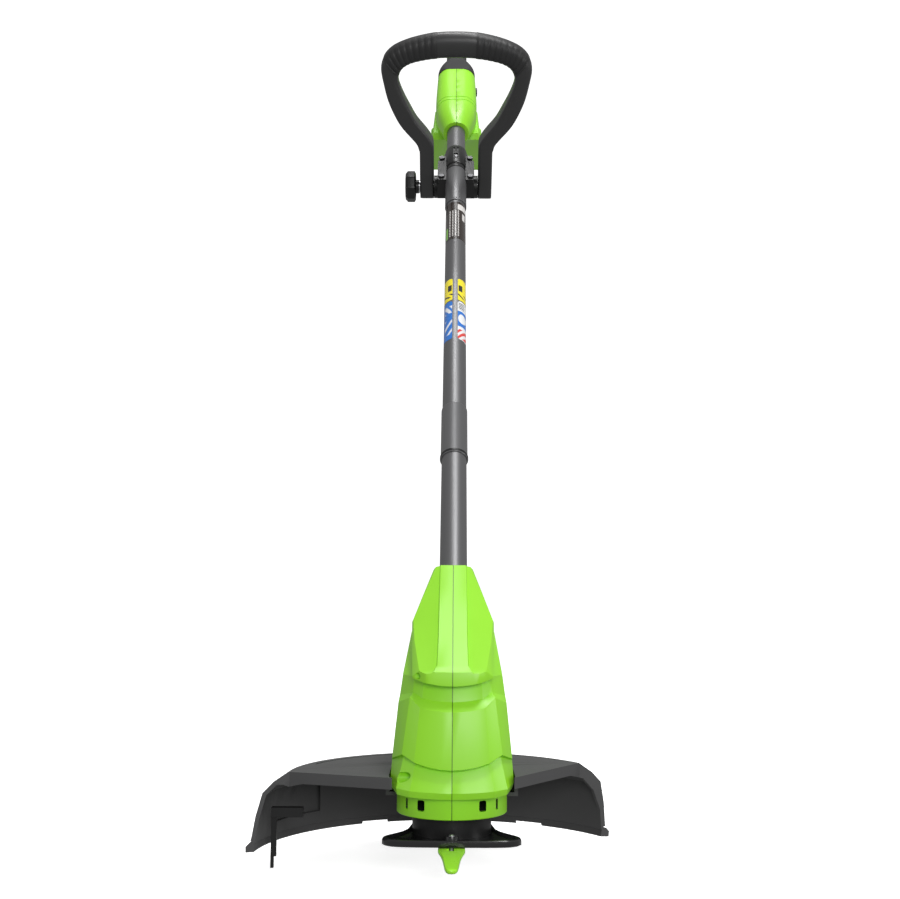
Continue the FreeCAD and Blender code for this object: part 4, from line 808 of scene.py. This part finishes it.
nose_steps = [
    # half-width, front, back, corner and station
    (17.5, -17.5, 17.5, 17.0, 981), (20, -19.6, 20.5, 18, 990), (23.5, -21.8, 24, 19, 1004),
    (26.5, -23.2, 31, 20, 1020), (28.5, -23.9, 36.5, 21, 1038), (29.3, -24.0, 40, 21, 1056),
    (29.0, -24.7, 42.5, 20, 1082), (28.3, -25.5, 44.5, 19, 1106), (27.5, -26, 46, 18, 1131),
]
grip_steps = [
    (27.4, -26, 31, 16, 1131.05), (27, -26, 30.5, 13, 1138), (25.6, -25.4, 29, 13, 1149),
    (23, -23.4, 27, 13, 1162), (19.4, -19.6, 25, 12, 1177), (16, -12, 25.5, 11, 1198),
    (15.5, -4.5, 31, 13, 1220), (15.5, 5, 42, 13, 1262),
]
nose_rows = smooth_between(nose_steps, 6)
nose_grooves, groove_half, groove_deep = (1038, 1047), 0.6, 0.8
nose_loops = [oval(*row) for row in nose_rows if min(abs(row[4] - groove) for groove in nose_grooves) > 1.2]
for groove in nose_grooves:
    for off, inset in ((-0.9, 0), (-groove_half, groove_deep), (groove_half, groove_deep), (0.9, 0)):
        level = groove + off
        sizes = [np.interp(level, [row[4] for row in nose_rows], [row[part] for row in nose_rows])
                 for part in range(4)]
        nose_loops.append(oval(*sizes, level, inset))
nose_loops.sort(key=lambda loop: loop[0][2])
nose = body_of(mesh_of(nose_loops), shaft)
shoulder_line = [(14, 1010, 33), (22, 1005, 35), (100, 1072, 37.6), (114, 1085, 37.6), (90, 1138, 36),
                 (50, 1124, 33), (22, 1093, 31), (14, 1076, 31)]
middle_y, middle_z, trim = 64, 1070, 0.96
for side in (-1, 1):
    inside = [(side * 2, y, z) for y, z, reach in shoulder_line]
    side_edge = [(side * (reach - 1.5), y, z) for y, z, reach in shoulder_line]
    side_face = [(side * reach, middle_y + trim * (y - middle_y), middle_z + trim * (z - middle_z))
                 for y, z, reach in shoulder_line]
    cut(nose, body_of(mesh_of([inside, side_edge, side_face]), shaft), how="UNION")
core = body_of(mesh_of([oval(*row, inset=skin_thick + 0.2) for row in grip_steps]), shaft)
loop_line = [(3, 1260), (7, 1283), (22, 1296), (47, 1296), (140, 1257), (138, 1225), (112, 1227), (50, 1261),
             (42, 1260)]
loop_bar = prism(loop_line, -15, 15, shaft, soft=4, way="X")
base = prism(oblong(base_half, -base_high, 0), 0, base_long, bay, soft=4)
cut(nose, core, loop_bar, base, how="UNION")

# Its rooms: the nose and grip a wall smaller, the body behind, and the bays for the battery and its terminals.
rooms = body_of(mesh_of([oval(*row, inset=wall) for row in nose_rows if row[4] > 1004]), shaft)
body_line = [(26, 1024), (30, 1023), (98, 1083), (106, 1090), (88, 1132), (50, 1130), (38, 1112), (26, 1090)]
body_room = prism(body_line, -27.5, 27.5, shaft, way="X")
grip_rows = grip_steps[:-1] + [(15.5, 3, 40, 13, 1254)]
grip_room = body_of(mesh_of([oval(*row, inset=skin_thick + wall + 0.2) for row in grip_rows]), shaft)
cut(rooms, body_room, grip_room, how="UNION")
cut(rooms, round_bar(15.2, 990, 1011, shaft))
cut(nose, rooms, round_bar(on_tube, 970, 1008.05, shaft), round_bar(9, 1000, 1016, shaft))
cut(nose, prism(oblong(37.1, -52.9, -3.1), 22.7, 150, bay), prism(oblong(11.5, -56.6, -50), 133, 150, bay),
    prism(oblong(35.4, -58, -2.6), 2.6, 19.7, bay), prism(oblong(20.3, -41.3, -12.7), 15, 23, bay),
    prism(oblong(7.5, 2, 52), 1138, 1192, shaft))
cross_holes = [(6.3, 20, 60, 4, 1117), (4.0, -60, -26.5, -2, 1040), (2.05, -20, 20, 11, 1146)]
for radius, low, high, y, level in cross_holes:
    cut(nose, round_bar(radius, low, high, shaft @ at(0, y, level) @ across))
cut(nose, round_bar(2.0, -60, -24.5, shaft @ at(0, -13, 1114) @ across, sides=24))
for down in (-58, -54.5):
    cut(nose, prism(oblong(60, down - 0.6, down + 0.6), -1, 0.9, bay))
for side in (-1, 1):
    for number in range(6):
        slot_place = shaft @ at(side * 35, 48 + 9 * number, 1060 + 7.6 * number, 20)
        cut(nose, prism(oblong(4, -1.4, 1.4), -17, 17, slot_place, soft=1.0))
for side, way in (("left", -1), ("right", 1)):
    half = body_of(nose.data.copy())
    room = prism([(0, -200), (120 * way, -200), (120 * way, 300), (0, 300)], 940, 1400, shaft)
    cut(half, room, how="INTERSECT")
    done("rear_shell_" + side, half, green, "frame", edge=0.4, crisp=28,
         stands_for=("rear_housing_" + side,))
bpy.data.objects.remove(nose)
grip_black = moulded("grip_rubber", (0.018, 0.018, 0.019), 0.75, grain=1.8, depth=0.5, tone=0.12)
skin_rows = [list(row) for row in smooth_between(grip_steps, 5)]
soft_skin = body_of(mesh_of([oval(*row) for row in skin_rows]), shaft)
through_rows = [[*skin_rows[0][:4], 1125]] + skin_rows + [[*skin_rows[-1][:4], 1270]]
cut(soft_skin, body_of(mesh_of([oval(*row, inset=skin_thick) for row in through_rows]), shaft),
    prism([(29, 1120), (70, 1120), (70, 1176), (29, 1176)], -50, 50, shaft, way="X"),
    prism([(4, 1132), (60, 1132), (60, 1192.5), (4, 1192.5)], -7.5, 7.5, shaft, way="X"),
    prism([(-60, 1257.9), (90, 1257.9), (90, 1300), (-60, 1300)], -50, 50, shaft, way="X"))
done("soft_grip_skin", soft_skin, grip_black, "frame", edge=0.4, stands_for=("soft_grip",))


# Controls: a black trigger under the grip, a round lock-off button on the right side, and the switch and board
# that they work.
dressed(black, "trigger", "power_switch", "terminal_block", "lock_off_button")
crisp_edges(0.8, "trigger")
crisp_edges(0.5, "lock_off_button", "power_switch", "terminal_block")
board_green = moulded("circuit_board", (0.01, 0.11, 0.03), 0.35, grain=0.8, depth=0.1, coat=0.4)
dressed(board_green, "control_board")


# Battery: a black case and lid that slide out along the base, cells in blue wrap, brass contacts, and a latch
# behind.
dressed(black, "battery_case", "battery_lid", "battery_latch")
crisp_edges(1.2, "battery_case", "battery_lid")
crisp_edges(0.5, "battery_latch")
cell_wrap = moulded("cell_wrap", (0.02, 0.1, 0.4), 0.3, grain=2, depth=0.05, coat=0.3)
dressed(cell_wrap, "battery_cells")
brass = metal("brass", (0.78, 0.56, 0.2), 0.3)
dressed(brass, "battery_contacts")
